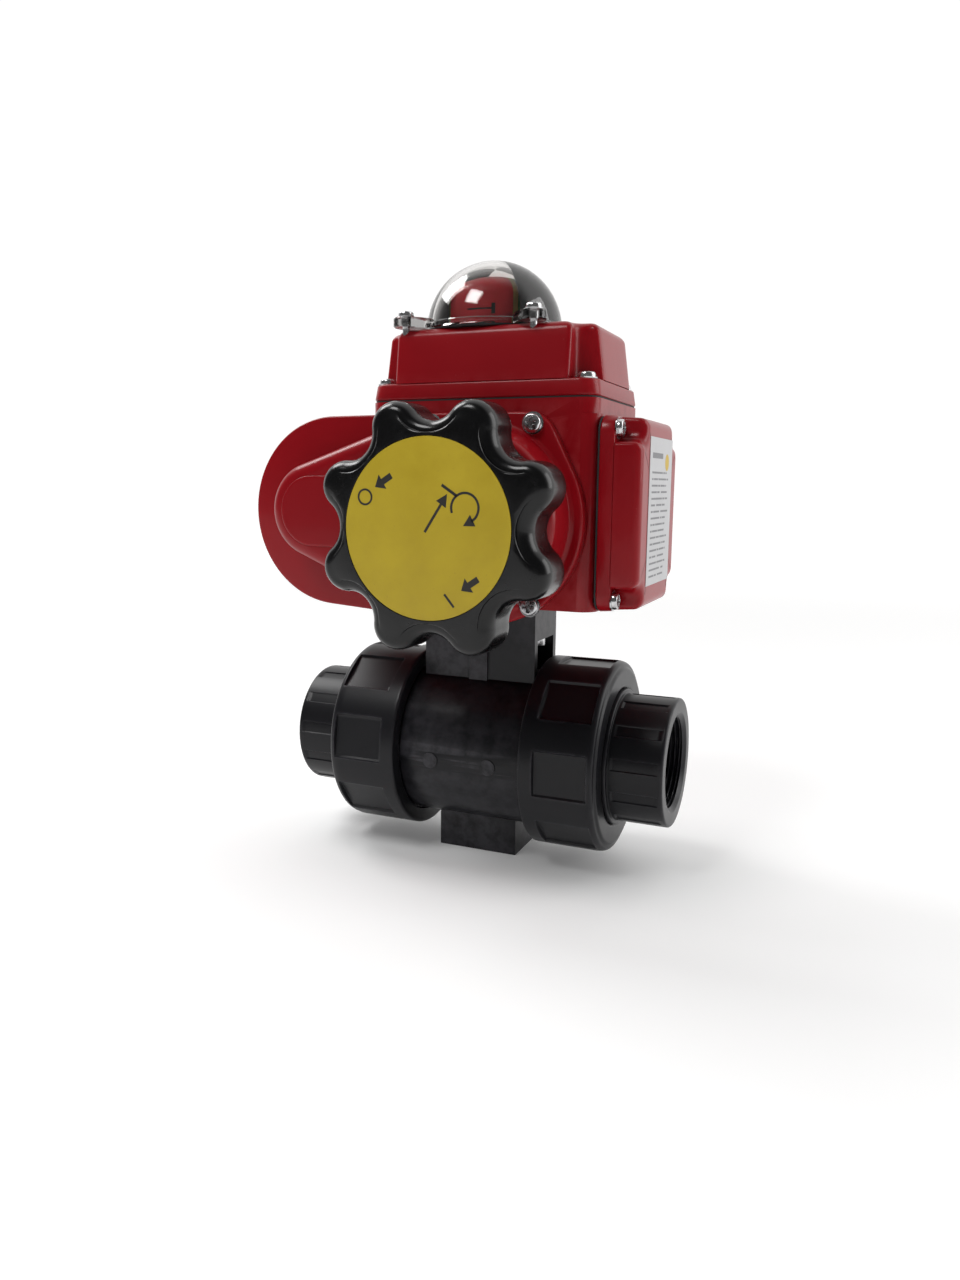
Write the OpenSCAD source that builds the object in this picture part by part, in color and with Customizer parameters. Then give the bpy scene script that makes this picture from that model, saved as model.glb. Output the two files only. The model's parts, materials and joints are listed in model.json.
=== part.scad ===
// Quarter-turn electric valve actuator, bolted to a true-union plastic ball valve.
// Origin at the centre of the valve foot's underside, +X along the pipe, -Y towards the
// handwheel, +Z up the stem. Millimetres.

/* [Valve] */
// Height of the pipe axis above the foot's underside
pipe_z = 55; // [54:0.5:58]
// Outside radius of the valve body between the union nuts
body_r = 39.7; // [39:0.1:40]
// Outside radius of the union nuts
nut_r = 48; // [46:0.5:50]
// Outside radius of the end connectors
hub_r = 31.8; // [31:0.1:32.5]
// Half of the length over the end connectors
end_x = 99; // [96:0.5:104]
// Radius of the ball
ball_r = 28; // [27:0.1:28]
// Radius of the flow passage
flow_r = 19.5; // [17:0.1:20]
// Minor radius of the female pipe thread
thread_r = 22.42; // [22.42:0.01:22.42]

/* [Actuator body] */
// Height of the housing's underside
base_z = 131.5; // [131.5:0.5:133]
// Left face of the housing
body_x0 = -49.5; // [-51:0.5:-49]
// Right face of the housing
body_x1 = 65.7; // [65:0.1:68]
// Half of the depth of the housing
body_y = 38.5; // [38:0.5:40]
// Height of the joint under the top cover
top_seam_z = 227.5; // [227:0.5:229]
// Height of the top cover's upper face
cover_top_z = 261.5; // [260:0.5:261.5]
// Right face of the terminal cover
terminal_x1 = 85.4; // [84:0.1:88]
// Outside radius of the clear dome
dome_r = 33.5; // [33:0.1:34]

/* [Gear cover] */
// Front plane of the gear cover's flange
flange_y = -46; // [-46.5:0.1:-45.5]
// Front plane of the gear cover's raised part
bulge_y = -66; // [-66.5:0.1:-65.8]
// Radius of the flange around the motor
lobe_r = 46; // [45:0.5:47]
// Radius of the flange around the handwheel shaft
flange_r = 49; // [48.5:0.5:50]

/* [Gears] */
// Teeth on the worm wheel
wheel_teeth = 32; // [32:1:32]
// Module of the worm wheel
wheel_module = 1.5; // [1.5:0.1:1.5]
// Pitch radius of the worm
worm_r = 8; // [8:0.1:8]
// Teeth on the worm shaft's spur gear
spur_teeth = 58; // [58:1:58]
// Teeth on the motor's pinion
pinion_teeth = 12; // [12:1:12]
// Teeth on the hand gear
hand_teeth = 32; // [32:1:32]

/* [Handwheel] */
// Number of lobes
lobes = 8; // [6:1:10]
// Radius to the tip of a lobe
wheel_tip_r = 55.8; // [54:0.2:57]
// Front plane of the handwheel
wheel_front_y = -103; // [-104:0.5:-102]
// Depth of the handwheel's rim
rim_depth = 26; // [22:1:28]
// Travel of the handwheel when it is pushed in
push_travel = 5; // [3:0.5:5]

/* [Hidden] */
$fn = 64;
gap = 0.05;
wall = 4;
seal_t = 0.8;
axle_z = 172.5;
wheel_h = 14;
wheel_pitch_r = wheel_teeth * wheel_module / 2;
thread_pitch = PI * wheel_module;
worm_x = -(wheel_pitch_r + worm_r);
motor_x = worm_x - (spur_teeth + pinion_teeth) / 2;
motor_r = 25;
hand_z = 170.5;
hand_x = worm_x + sqrt(pow((spur_teeth + hand_teeth) / 2, 2) - pow(axle_z - hand_z, 2));
lobe_x = -65.5;
lobe_z = 175;
front_y = -body_y;
cover_y = front_y - seal_t;
gear_y0 = -49;
gear_h = 5.5;
gear_wall = 4;
hand_gear_y0 = gear_y0 - 1 - push_travel - gear_h;
nut_x0 = 32.8;
nut_x1 = 71;
shoulder_x = 57;
seat_x = 20;
carrier_x = 29;
spigot_x = 47;
cavity_r = 33.5;
pad_x = 30;
pad_y = 16;
pad_z = 112;
screw_r = 4.2;
ear = 32.4;
ear_r = 6;
dome_z = 263;
dome_seat_z = cover_top_z + seal_t;
dome_t = 2.5;
cover_z0 = top_seam_z + seal_t;
terminal_x0 = body_x1 + seal_t;
terminal_z1 = 220;
cover_screws = [for (x = [body_x0 + 6.5, body_x1 - 8]) for (y = [-31, 31]) [x, y]];
terminal_screws = [for (y = [-33, 33]) for (z = [base_z + 5.5, terminal_z1 - 6]) [y, z]];
gear_screws = [[38, 216], [38, 134], [-12, 216], [-12, 130]];
pad_bolts = [for (x = [-23, 23]) for (y = [-7, 7]) [x, y]];
stop_x = 16;
stop_z = 146;
conduit_x = 42;
conduit_zs = [158, 192];
conduit_r = 9.25;
board_y = 30;
board_t = 1.6;
block_z = 168;
switch_x = 22;
lever_pin_y = 9;
top_ledge = 236;
side_ledge = 73.2;

// ---- Helpers ----

// A cylinder along Y at (x, z), from y0 to y1
module rod_y(x, z, r, y0, y1) {
    translate([x, y1, z]) rotate([90, 0, 0]) cylinder(r = r, h = y1 - y0);
}

// A cylinder along X at (y, z), from x0 to x1
module rod_x(y, z, r, x0, x1) {
    translate([x0, y, z]) rotate([0, 90, 0]) cylinder(r = r, h = x1 - x0);
}

// A cylinder along Z at (x, y), from z0 to z1
module rod_z(x, y, r, z0, z1) {
    translate([x, y, z0]) cylinder(r = r, h = z1 - z0);
}

// A box between two corners
module slab(low, high) {
    translate(low) cube(high - low);
}

// A flat rectangle with round corners, true arcs
module round_rect(low, high, r) {
    translate([low.x + r, low.y]) square([high.x - low.x - 2 * r, high.y - low.y]);
    translate([low.x, low.y + r]) square([high.x - low.x, high.y - low.y - 2 * r]);
    for (x = [low.x + r, high.x - r]) for (y = [low.y + r, high.y - r]) translate([x, y]) circle(r);
}

// A ring along X, centred on the pipe axis
module pipe_ring(r_out, r_in, x0, x1) {
    difference() {
        rod_x(0, pipe_z, r_out, x0, x1);
        rod_x(0, pipe_z, r_in, x0 - 1, x1 + 1);
    }
}

// A ring along Z on the stem axis
module stem_ring(r_out, r_in, z0, z1) {
    difference() {
        rod_z(0, 0, r_out, z0, z1);
        rod_z(0, 0, r_in, z0 - 1, z1 + 1);
    }
}

// The outline of a gear with straight-sided teeth; a tooth stands at angle 0
function gear_points(teeth, m, tip, pitch, root) = let (r = teeth * m / 2)
    [for (i = [0 : teeth - 1]) for (s = [[-1, root, -1.1], [-1, tip, 0.8], [1, tip, 0.8], [1, root, -1.1]])
        let (rad = r + s[2] * m, a = 360 * i / teeth + s[0] * s[1] * m / rad * 180 / PI)
        [rad * cos(a), rad * sin(a)]];

// A spur gear along Y at (x, z), from y0 towards +Y
module spur(x, z, teeth, y0, h, bore, phase) {
    translate([x, y0 + h, z]) rotate([90, 0, 0]) linear_extrude(h) difference() {
        rotate(phase) polygon(gear_points(teeth, 1, 0.25, 0.6, 0.8));
        circle(bore);
    }
}

// A pan head screw pointing along -Z from z
module pan_screw(head_r, head_h, shank_r, shank_h) {
    difference() {
        cylinder(r = head_r, h = head_h);
        for (a = [0, 90]) rotate(a) translate([-head_r * 0.6, -0.5, head_h - 1.2])
            cube([head_r * 1.2, 1, 2]);
    }
    translate([0, 0, -shank_h]) cylinder(r = shank_r, h = shank_h);
}

// The flange outline of the gear cover, drawn with X across and Z up
module flange_outline(grow = 0) {
    hull() {
        translate([lobe_x, lobe_z]) circle(lobe_r + grow);
        translate([hand_x, axle_z]) circle(flange_r + grow);
    }
    translate([lobe_x, lobe_z]) square([38 - lobe_x, lobe_r + grow]);
}

// The outline of the gear cover's raised part
module bulge_outline(grow = 0) {
    hull() {
        translate([-67, 176]) circle(24 + grow);
        translate([-22, 174.5]) circle(40 + grow);
        translate([hand_x, 173]) circle(43 + grow);
    }
}

// Stands a flat X-Z outline up, from y0 to y1
module stand(y0, y1) {
    translate([0, y1, 0]) rotate([90, 0, 0]) linear_extrude(y1 - y0) children();
}

// ---- Valve ----

module valve_body() {
    color("#3b3d44") difference() {
        union() {
            rod_x(0, pipe_z, body_r, -nut_x0, nut_x0);
            rod_x(0, pipe_z, 39, -spigot_x, spigot_x);
            for (s = [-1, 1]) for (i = [0 : 2])
                rod_x(0, pipe_z, 40, s * (36 + 4 * i) - 1, s * (36 + 4 * i) + 1);
            slab([-21.2, -pad_y, 0], [21.2, pad_y, 25]);
            rod_z(0, 0, 17, pipe_z + 30, pad_z + 1);
            slab([-pad_x, -pad_y, pad_z], [pad_x, pad_y, base_z]);
            for (s = [-1, 1]) slab([-pad_x, s * 14 - 2, pipe_z + 30], [pad_x, s * 14 + 2, pad_z + 1]);
            slab([-5, -pad_y - 1.2, pipe_z + 30], [5, -pad_y + 1, pad_z + 6]);
            for (x = [-16, 15]) rod_y(x, pipe_z - 2.5, 4, -body_r - 0.5, -body_r + 3);
        }
        rod_x(0, pipe_z, cavity_r, -carrier_x, spigot_x + 1);
        rod_x(0, pipe_z, flow_r, -spigot_x - 1, 0);
        rod_z(0, 0, 11.1, pipe_z + 25, pipe_z + 32);
        rod_z(0, 0, 9.05, pipe_z, pad_z);
        rod_z(0, 0, 13.5, 104, base_z + 1);
        for (p = pad_bolts) rod_z(p.x, p.y, 2.7, pad_z - 1, base_z + 1);
        for (x = [-12, 12]) rod_z(x, 0, 2.75, -1, 12);
        for (s = [-1, 1]) difference() {
            rod_x(0, pipe_z, 31.2, s * 46 - 1.05, s * 46 + 1.05);
            rod_x(0, pipe_z, 28, s * 46 - 2, s * 46 + 2);
        }
    }
}

// One end connector on the +X side
module end_connector() {
    difference() {
        union() {
            rod_x(0, pipe_z, 39.8, spigot_x + 0.1, shoulder_x - 0.1);
            rod_x(0, pipe_z, 33.95, shoulder_x - 1, nut_x1 + 1.5);
            difference() {
                rod_x(0, pipe_z, hub_r, nut_x1, end_x);
                for (a = [0 : 30 : 330]) translate([0, 0, pipe_z]) rotate([a + 8, 0, 0])
                    slab([nut_x1 + 3, hub_r - 0.6, -2.6], [end_x + 1, hub_r + 1, 2.6]);
            }
        }
        rod_x(0, pipe_z, flow_r, spigot_x - 1, 79);
        rod_x(0, pipe_z, thread_r, 78, end_x + 1);
        translate([end_x - 2, 0, pipe_z]) rotate([0, 90, 0]) cylinder(r1 = thread_r, r2 = 24.5, h = 2.01);
    }
}

module end_connector_left() {
    color("#3b3d44") mirror([1, 0, 0]) end_connector();
}

module end_connector_right() {
    color("#3b3d44") end_connector();
}

// One union nut on the +X side, its eight finger recesses turned by an angle
module union_nut(turn) {
    difference() {
        translate([0, 0, pipe_z]) rotate([0, 90, 0]) rotate_extrude()
            polygon([[40.6, nut_x0 + 0.2], [nut_r - 1, nut_x0 + 0.2], [nut_r, nut_x0 + 1.2],
                [nut_r, nut_x1 - 5], [nut_r - 1.6, nut_x1 - 1.6], [nut_r - 5, nut_x1],
                [34, nut_x1], [34, shoulder_x], [40.6, shoulder_x]]);
        translate([0, 0, pipe_z]) for (a = [0 : 45 : 315]) rotate([a + turn, 0, 0])
            slab([41, -11.5, nut_r - 2.6], [nut_x1 - 4, 11.5, nut_r + 3]);
    }
}

module union_nut_left() {
    color("#3b3d44") mirror([1, 0, 0]) union_nut(8);
}

module union_nut_right() {
    color("#3b3d44") union_nut(0);
}

module ball() {
    color("#8d9096") difference() {
        translate([0, 0, pipe_z]) sphere(ball_r);
        rotate([0, 0, 90]) rod_x(0, pipe_z, flow_r, -ball_r - 1, ball_r + 1);
        slab([-4.05, -20, pipe_z + ball_r - 5], [4.05, 20, pipe_z + ball_r + 1]);
    }
}

module stem() {
    color("#55585f") difference() {
        union() {
            slab([-4, -9, pipe_z + ball_r - 4.9], [4, 9, pipe_z + ball_r - 0.4]);
            rod_z(0, 0, 11, pipe_z + ball_r - 0.5, pipe_z + 31.9);
            rod_z(0, 0, 9, pipe_z + 31, 105);
            slab([-5.5, -5.5, 105], [5.5, 5.5, 116]);
        }
        for (z = [91, 97]) difference() {
            rod_z(0, 0, 10, z - 1.05, z + 1.05);
            rod_z(0, 0, 7.2, z - 2, z + 2);
        }
    }
}

module stem_seals() {
    color("#1c1c1e") for (z = [91, 97]) stem_ring(9, 7.25, z - 1, z + 1);
}

module ball_seats() {
    color("#e8e6dc") for (s = [-1, 1]) difference() {
        rod_x(0, pipe_z, cavity_r - 0.1, s > 0 ? seat_x : 3 - carrier_x, s > 0 ? carrier_x - 3 : -seat_x);
        rod_x(0, pipe_z, flow_r, -carrier_x, carrier_x);
        translate([0, 0, pipe_z]) sphere(ball_r + 0.05);
    }
}

module seat_seals() {
    color("#1c1c1e") for (s = [-1, 1]) {
        x = s * (carrier_x - 1.5);
        pipe_ring(cavity_r - 0.1, 28, x - 1.4, x + 1.4);
    }
}

module seat_retainer() {
    color("#4a4d55") difference() {
        pipe_ring(cavity_r - 0.1, flow_r, carrier_x, 44.8);
        for (a = [0, 90, 180, 270]) translate([0, 0, pipe_z]) rotate([a, 0, 0])
            slab([42, 24, -3], [46, 31, 3]);
    }
}

module face_seals() {
    color("#1c1c1e") for (s = [-1, 1]) pipe_ring(31.1, 28.1, s * 46 - 1, s * 46 + 1);
}

// ---- Actuator castings ----

module main_housing() {
    color("#b5161f") difference() {
        union() {
            translate([0, 0, base_z]) linear_extrude(top_seam_z - base_z - 7)
                round_rect([body_x0 + 1, -body_y], [body_x1, body_y], 8);
            translate([0, 0, top_seam_z - 7.5]) linear_extrude(7.5)
                round_rect([body_x0, -body_y], [body_x1 - 1.2, body_y], 8);
            stand(front_y, front_y + 4.5) flange_outline();
            rod_y(motor_x, lobe_z, 38.5, front_y, 34);
            for (z = conduit_zs) rod_y(conduit_x, z, 14, 30, body_y + 5);
        }
        difference() {
            translate([0, 0, base_z + 5]) linear_extrude(top_seam_z)
                round_rect([body_x0 + wall + 1, -body_y + wall], [body_x1 - wall, body_y - wall], 5);
            for (p = cover_screws) rod_z(p.x, p.y, 6, 205, top_seam_z + 1);
            for (x = [-28, 16]) for (z = [190, 218]) rod_y(x, z, 3, board_y + board_t, body_y);
        }
        rod_y(motor_x, lobe_z, 34, front_y + 4.5, 30);
        rod_y(motor_x, axle_z, 8, front_y - 1, front_y + 6);
        rod_y(worm_x, axle_z, 8, front_y - 1, front_y + 6);
        rod_y(worm_x, axle_z, 8, body_y - wall - 1, body_y - 1);
        rod_y(hand_x, hand_z, 6 + gap, front_y - 1, front_y + 6);
        rod_z(0, 0, 15, base_z - 1, base_z + 6);
        slab([body_x1 - wall - 1, -24, block_z], [body_x1 + 1, 24, 208]);
        for (z = conduit_zs) rod_y(conduit_x, z, conduit_r, body_y - 10, body_y + 6);
        for (s = [-1, 1]) rod_y(s * stop_x, stop_z, 3 + gap, body_y - wall - 1, body_y + 1);
        for (p = gear_screws) rod_y(p.x, p.y, 2, front_y - 1, front_y + 4);
        for (p = cover_screws) rod_z(p.x, p.y, 2, top_seam_z - 12, top_seam_z + 1);
        for (p = terminal_screws) rod_x(p.x, p.y, 2, body_x1 - 10, body_x1 + 1);
        for (p = pad_bolts) rod_z(p.x, p.y, 2.7, base_z - 1, base_z + 6);
    }
}

module gear_cover() {
    color("#b5161f") difference() {
        union() {
            stand(flange_y, cover_y) flange_outline();
            stand(bulge_y + 5, flange_y) bulge_outline(0);
            hull() {
                stand(bulge_y + 4.9, bulge_y + 5) bulge_outline(0);
                stand(bulge_y, bulge_y + 0.1) bulge_outline(-5);
            }
        }
        stand(bulge_y + 4, cover_y + 1) bulge_outline(-gear_wall);
        rod_y(hand_x, hand_z, 9, bulge_y - 1, bulge_y + 6);
        for (p = gear_screws) {
            rod_y(p.x, p.y, 2.2, flange_y - 1, cover_y + 1);
            rod_y(p.x, p.y, screw_r + 0.6, bulge_y - 1, flange_y);
        }
    }
}

module gear_cover_gasket() {
    color("#26272a") difference() {
        stand(cover_y, front_y) flange_outline(-0.4);
        stand(cover_y - 1, front_y + 1) bulge_outline(-gear_wall);
        for (p = gear_screws) rod_y(p.x, p.y, 2.2, cover_y - 1, front_y + 1);
    }
}

// A tapered block with round corners: the top cover's outside or inside
module cover_block(inset, z0, z1) {
    taper = (z1 - z0) * tan(8);
    hull() {
        translate([0, 0, z0]) linear_extrude(0.5, $fn = 32)
            round_rect([body_x0 + inset, -body_y + inset],
                [body_x1 - 1.2 - inset, body_y - inset], 8 - inset / 2);
        translate([0, 0, z1 - 3]) linear_extrude(0.5, $fn = 32)
            round_rect([body_x0 + inset + taper, -body_y + inset + taper],
                [body_x1 - 1.2 - inset - taper, body_y - inset - taper], 8 - inset / 2);
        translate([0, 0, z1 - 0.5]) linear_extrude(0.5, $fn = 32)
            round_rect([body_x0 + inset + taper + 3, -body_y + inset + taper + 3],
                [body_x1 - 4.2 - inset - taper, body_y - inset - taper - 3], 6 - inset / 2);
    }
}

module top_cover() {
    notch = 7;
    color("#b5161f") difference() {
        cover_block(0, cover_z0, cover_top_z);
        difference() {
            cover_block(wall, cover_z0 - 1, cover_top_z - wall);
            for (p = cover_screws) rod_z(p.x, p.y, notch + 3, cover_z0 - 2, cover_top_z);
            rod_z(0, 0, 15, cover_top_z - 14, cover_top_z);
        }
        for (p = cover_screws) {
            rod_z(p.x, p.y, notch, top_ledge, cover_top_z + 1);
            translate([p.x < 0 ? p.x - 15 : p.x, p.y < 0 ? p.y - 15 : p.y, top_ledge]) cube([15, 15, 30]);
            rod_z(p.x, p.y, 2.2, cover_z0 - 1, top_ledge + 1);
        }
        rod_z(0, 0, 11, cover_top_z - 15, cover_top_z + 1);
        for (x = [-ear, ear]) for (y = [-ear, ear]) rod_z(x, y, 1.6, cover_top_z - 3.5, cover_top_z + 1);
    }
}

module top_gasket() {
    color("#26272a") translate([0, 0, top_seam_z]) linear_extrude(seal_t) difference() {
        round_rect([body_x0 + 0.6, -body_y + 0.6], [body_x1 - 1.8, body_y - 0.6], 7.5);
        round_rect([body_x0 + 6, -body_y + 5], [body_x1 - 7, body_y - 5], 5);
        for (p = cover_screws) translate(p) circle(2.2);
    }
}

module terminal_cover() {
    notch = 6;
    color("#b5161f") difference() {
        translate([terminal_x0, 0, 0]) rotate([90, 0, 90]) {
            linear_extrude(terminal_x1 - terminal_x0 - 3)
                round_rect([-body_y, base_z], [body_y, terminal_z1], 8);
            linear_extrude(terminal_x1 - terminal_x0)
                round_rect([-body_y + 3, base_z + 3], [body_y - 3, terminal_z1 - 3], 6);
        }
        difference() {
            translate([terminal_x0 - 1, 0, 0]) rotate([90, 0, 90])
                linear_extrude(terminal_x1 - terminal_x0 - wall + 1)
                round_rect([-body_y + wall, base_z + wall], [body_y - wall, terminal_z1 - wall], 4);
            for (p = terminal_screws) rod_x(p.x, p.y, notch + 2.5, terminal_x0 - 2, terminal_x1);
        }
        for (p = terminal_screws) {
            rod_x(p.x, p.y, notch, side_ledge, terminal_x1 + 1);
            translate([side_ledge, p.x < 0 ? p.x - 12 : p.x, p.y < axle_z ? p.y - 12 : p.y])
                cube([20, 12, 12]);
            rod_x(p.x, p.y, 2.2, terminal_x0 - 1, side_ledge + 1);
        }
    }
}

module terminal_gasket() {
    color("#26272a") translate([body_x1, 0, 0]) rotate([90, 0, 90]) linear_extrude(seal_t) difference() {
        round_rect([-body_y + 0.6, base_z + 0.6], [body_y - 0.6, terminal_z1 - 0.6], 7.5);
        round_rect([-27, base_z + 13], [27, terminal_z1 - 10], 4);
        for (p = terminal_screws) translate(p) circle(2.2);
    }
}

module rating_label() {
    color("#e9e9ea") slab([terminal_x1, -22, 143], [terminal_x1 + 0.25, 24, 211]);
}

// ---- Position dome ----

module dome() {
    color("#d9e0e4", 0.4) difference() {
        union() {
            intersection() {
                translate([0, 0, dome_z]) sphere(dome_r);
                rod_z(0, 0, 50, dome_seat_z, dome_z + 50);
            }
            rod_z(0, 0, dome_r + 2.6, dome_seat_z, dome_seat_z + 3);
            for (x = [-ear, ear]) for (y = [-ear, ear]) {
                rod_z(x, y, ear_r, dome_seat_z, dome_seat_z + 4.5);
                rotate(atan2(y, x))
                    slab([20, 0.8 - ear_r, dome_seat_z], [norm([ear, ear]), ear_r - 0.8, dome_seat_z + 3]);
            }
        }
        translate([0, 0, dome_z]) sphere(dome_r - dome_t);
        for (x = [-ear, ear]) for (y = [-ear, ear]) rod_z(x, y, 2.2, dome_seat_z - 1, dome_seat_z + 6);
    }
}

module dome_mask() {
    mask_r = dome_r - dome_t - 0.1;
    half = 45;
    color("#141416") intersection() {
        difference() {
            translate([0, 0, dome_z]) sphere(mask_r);
            translate([0, 0, dome_z]) sphere(mask_r - 0.6);
        }
        translate([0, 0, dome_z + 0.5]) linear_extrude(dome_r) for (s = [0, 180]) rotate(s)
            polygon([[0.5, 0], [60 * cos(half), 60 * sin(half)], [90, 0], [60 * cos(half), -60 * sin(half)]]);
    }
}

module dome_seal() {
    color("#1c1c1e") stem_ring(dome_r + 1.5, dome_r - 5, cover_top_z, dome_seat_z);
}

module indicator_drum() {
    drum_r = 23;
    color("#c81e28") difference() {
        union() {
            rod_z(0, 0, drum_r, 265, 277);
            intersection() {
                translate([0, 0, 277]) scale([1, 1, 0.5]) sphere(drum_r);
                rod_z(0, 0, drum_r + 1, 276.5, 300);
            }
        }
        rod_z(0, 0, 8, 264, 270);
    }
}

// ---- Output shaft group ----

module output_shaft() {
    color("#b9bcc2") {
        slab([-7, -7, 119], [7, 7, base_z]);
        rod_z(0, 0, 12, base_z, 186);
        rod_z(0, 0, 8, 186, 269.5);
    }
}

module worm_wheel() {
    twist = 360 / (2 * PI * worm_r) * thread_pitch / (2 * PI) * wheel_h / wheel_pitch_r;
    color("#c79a4a") translate([0, 0, axle_z - wheel_h / 2]) difference() {
        rotate(twist / 2 + 180 / wheel_teeth) linear_extrude(wheel_h, twist = twist, slices = 6)
            polygon(gear_points(wheel_teeth, wheel_module, 0.3, 0.6, 0.95));
        translate([0, 0, -1]) cylinder(r = 12 + 0.02, h = wheel_h + 2);
    }
}

module stop_arm() {
    color("#9a9ca1") difference() {
        rotate(-45) slab([-27, -4, stop_z - 4], [27, 4, stop_z + 4]);
        rod_z(0, 0, 12.02, stop_z - 5, stop_z + 5);
    }
    color("#9a9ca1") stem_ring(17, 12.02, stop_z - 4, stop_z + 4);
}

module stop_bolts() {
    color("#c3c6ca") for (s = [-1, 1]) {
        rod_y(s * stop_x, stop_z, 3, 22.3, body_y + 9);
        translate([s * stop_x, body_y + 5, stop_z]) rotate([90, 0, 0]) difference() {
            cylinder(r = 5.6, h = 5, $fn = 6);
            translate([0, 0, -1]) cylinder(r = 3, h = 7);
        }
    }
}

module lower_bush() {
    color("#b98b46") stem_ring(14.98, 12 + gap, base_z, base_z + 6);
    color("#b98b46") stem_ring(17.5, 12 + gap, base_z + 5.05, base_z + 6.5);
}

module upper_bush() {
    color("#b98b46") stem_ring(10.98, 8 + gap, cover_top_z - 13, cover_top_z);
}

// A cam disc with one raised sector, centred on an angle
module cam(z, angle) {
    difference() {
        union() {
            rod_z(0, 0, 12, z, z + 5);
            intersection() {
                rod_z(0, 0, 15, z, z + 5);
                rotate(angle) slab([0, -7, z], [20, 7, z + 5]);
            }
        }
        rod_z(0, 0, 8.02, z - 1, z + 6);
    }
}

module limit_cams() {
    color("#d8d2c0") {
        cam(192, 200);
        cam(199, 70);
    }
}

module cam_spacer() {
    color("#b9bcc2") stem_ring(10.5, 8.02, 197.02, 198.98);
}

module drive_coupling() {
    color("#8f9298") difference() {
        rod_z(0, 0, 13, 105.3, 131.2);
        slab([-5.55, -5.55, 105], [5.55, 5.55, 117]);
        slab([-7.05, -7.05, 118.9], [7.05, 7.05, 132]);
    }
}

// ---- Worm and motor ----

// The worm thread's outline: a trapezoid wave of one crest around the circle
function worm_wave(a) = worm_r - 1.6 + 2.8 * max(0, min(1, (105 - abs(a)) / 60));

module worm_shaft() {
    length = 22;
    turns = length / thread_pitch;
    color("#a9acb2") {
        translate([worm_x, 0, axle_z]) rotate([90, 0, 0]) rotate(360 * turns / 2)
            linear_extrude(length, center = true, twist = 360 * turns, slices = round(14 * turns),
                segments = 24) polygon([for (a = [-180 : 15 : 165]) worm_wave(a) * [cos(a), sin(a)]]);
        rod_y(worm_x, axle_z, 5, -56, -11);
        rod_y(worm_x, axle_z, 5, 11, body_y - wall + 2.5);
    }
}

module worm_gear() {
    color("#c79a4a") spur(worm_x, axle_z, spur_teeth, gear_y0, gear_h, 5.02, 0);
}

module worm_bearings() {
    color("#b9bcc2") for (y = [front_y + 0.1, body_y - wall - 3]) difference() {
        rod_y(worm_x, axle_z, 7.98, y, y + 4.2);
        rod_y(worm_x, axle_z, 5 + gap, y - 1, y + 5.2);
    }
}

module motor() {
    color("#8e9196") difference() {
        union() {
            rod_y(motor_x, axle_z, motor_r, -32, 26);
            rod_y(motor_x, axle_z, 7.9, -38, -31);
        }
        rod_y(motor_x, axle_z, 3 + gap, -40, -20);
    }
}

module motor_pinion() {
    color("#b9bcc2") {
        spur(motor_x, axle_z, pinion_teeth, gear_y0 - 0.5, gear_h + 1, 0.5, 180 / pinion_teeth);
        rod_y(motor_x, axle_z, 3, gear_y0 + gear_h + 0.4, -21);
    }
}

// ---- Handwheel ----

module handwheel() {
    lobe = 11;
    back_y = wheel_front_y + rim_depth;
    color("#111113") translate([hand_x, 0, hand_z]) difference() {
        union() {
            stand(wheel_front_y, back_y) difference() {
                union() {
                    circle(48);
                    for (i = [0 : lobes - 1]) rotate((i + 0.5) * 360 / lobes)
                        translate([wheel_tip_r - lobe, 0]) circle(lobe);
                }
                for (i = [0 : lobes - 1]) rotate(i * 360 / lobes) translate([wheel_tip_r, 0]) circle(10);
            }
            rod_y(0, 0, 16, back_y - 1, back_y + 5);
        }
        rod_y(0, 0, 5.98, wheel_front_y + 6, back_y + 6);
        difference() {
            rod_y(0, 0, 39, wheel_front_y + 7, back_y + 1);
            rod_y(0, 0, 16, wheel_front_y, back_y + 6);
        }
    }
}

module handwheel_label() {
    color("#d6b41a") rod_y(hand_x, hand_z, 37.5, wheel_front_y - 0.3, wheel_front_y);
}

module handwheel_shaft() {
    color("#b9bcc2") rod_y(hand_x, hand_z, 5.97, wheel_front_y + 6.5, front_y + 2.5);
}

module hand_gear() {
    color("#c79a4a") spur(hand_x, hand_z, hand_teeth, hand_gear_y0, gear_h, 5.99, 0);
}

module hand_bush() {
    color("#b98b46") difference() {
        rod_y(hand_x, hand_z, 8.98, bulge_y - 0.8, bulge_y + 5);
        rod_y(hand_x, hand_z, 6.05, bulge_y - 2, bulge_y + 6);
    }
}

// Half of the wire's width in a cross-section, at an angle from the wire's middle
function wire_half(a, wire, pitch) = sqrt(max(0.01, wire * wire - pow(a * pitch / 360, 2)));

// A coil of round wire, drawn as the arc that the wire leaves in each cross-section
module push_spring() {
    wire = 0.8;
    coil_r = 7.6;
    pitch = 3.1;
    length = 13.2;
    turns = length / pitch;
    reach = wire / pitch * 360;
    arc = [for (i = [-6 : 6]) reach * sin(i * 15)];
    color("#b9bcc2") translate([hand_x, front_y - 0.3, hand_z]) rotate([90, 0, 0])
        linear_extrude(length, twist = 360 * turns, slices = round(14 * turns), segments = 26) polygon(concat(
            [for (a = arc) (coil_r + wire_half(a, wire, pitch)) * [cos(a), sin(a)]],
            [for (i = [12 : -1 : 0]) let (a = arc[i])
                (coil_r - wire_half(a, wire, pitch)) * [cos(a), sin(a)]]));
}

module push_washer() {
    color("#b9bcc2") difference() {
        rod_y(hand_x, hand_z, 11, hand_gear_y0 + gear_h + 0.1, hand_gear_y0 + gear_h + 1.3);
        rod_y(hand_x, hand_z, 6.03, -70, -40);
    }
}

// ---- Limit switches and wiring ----

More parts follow.
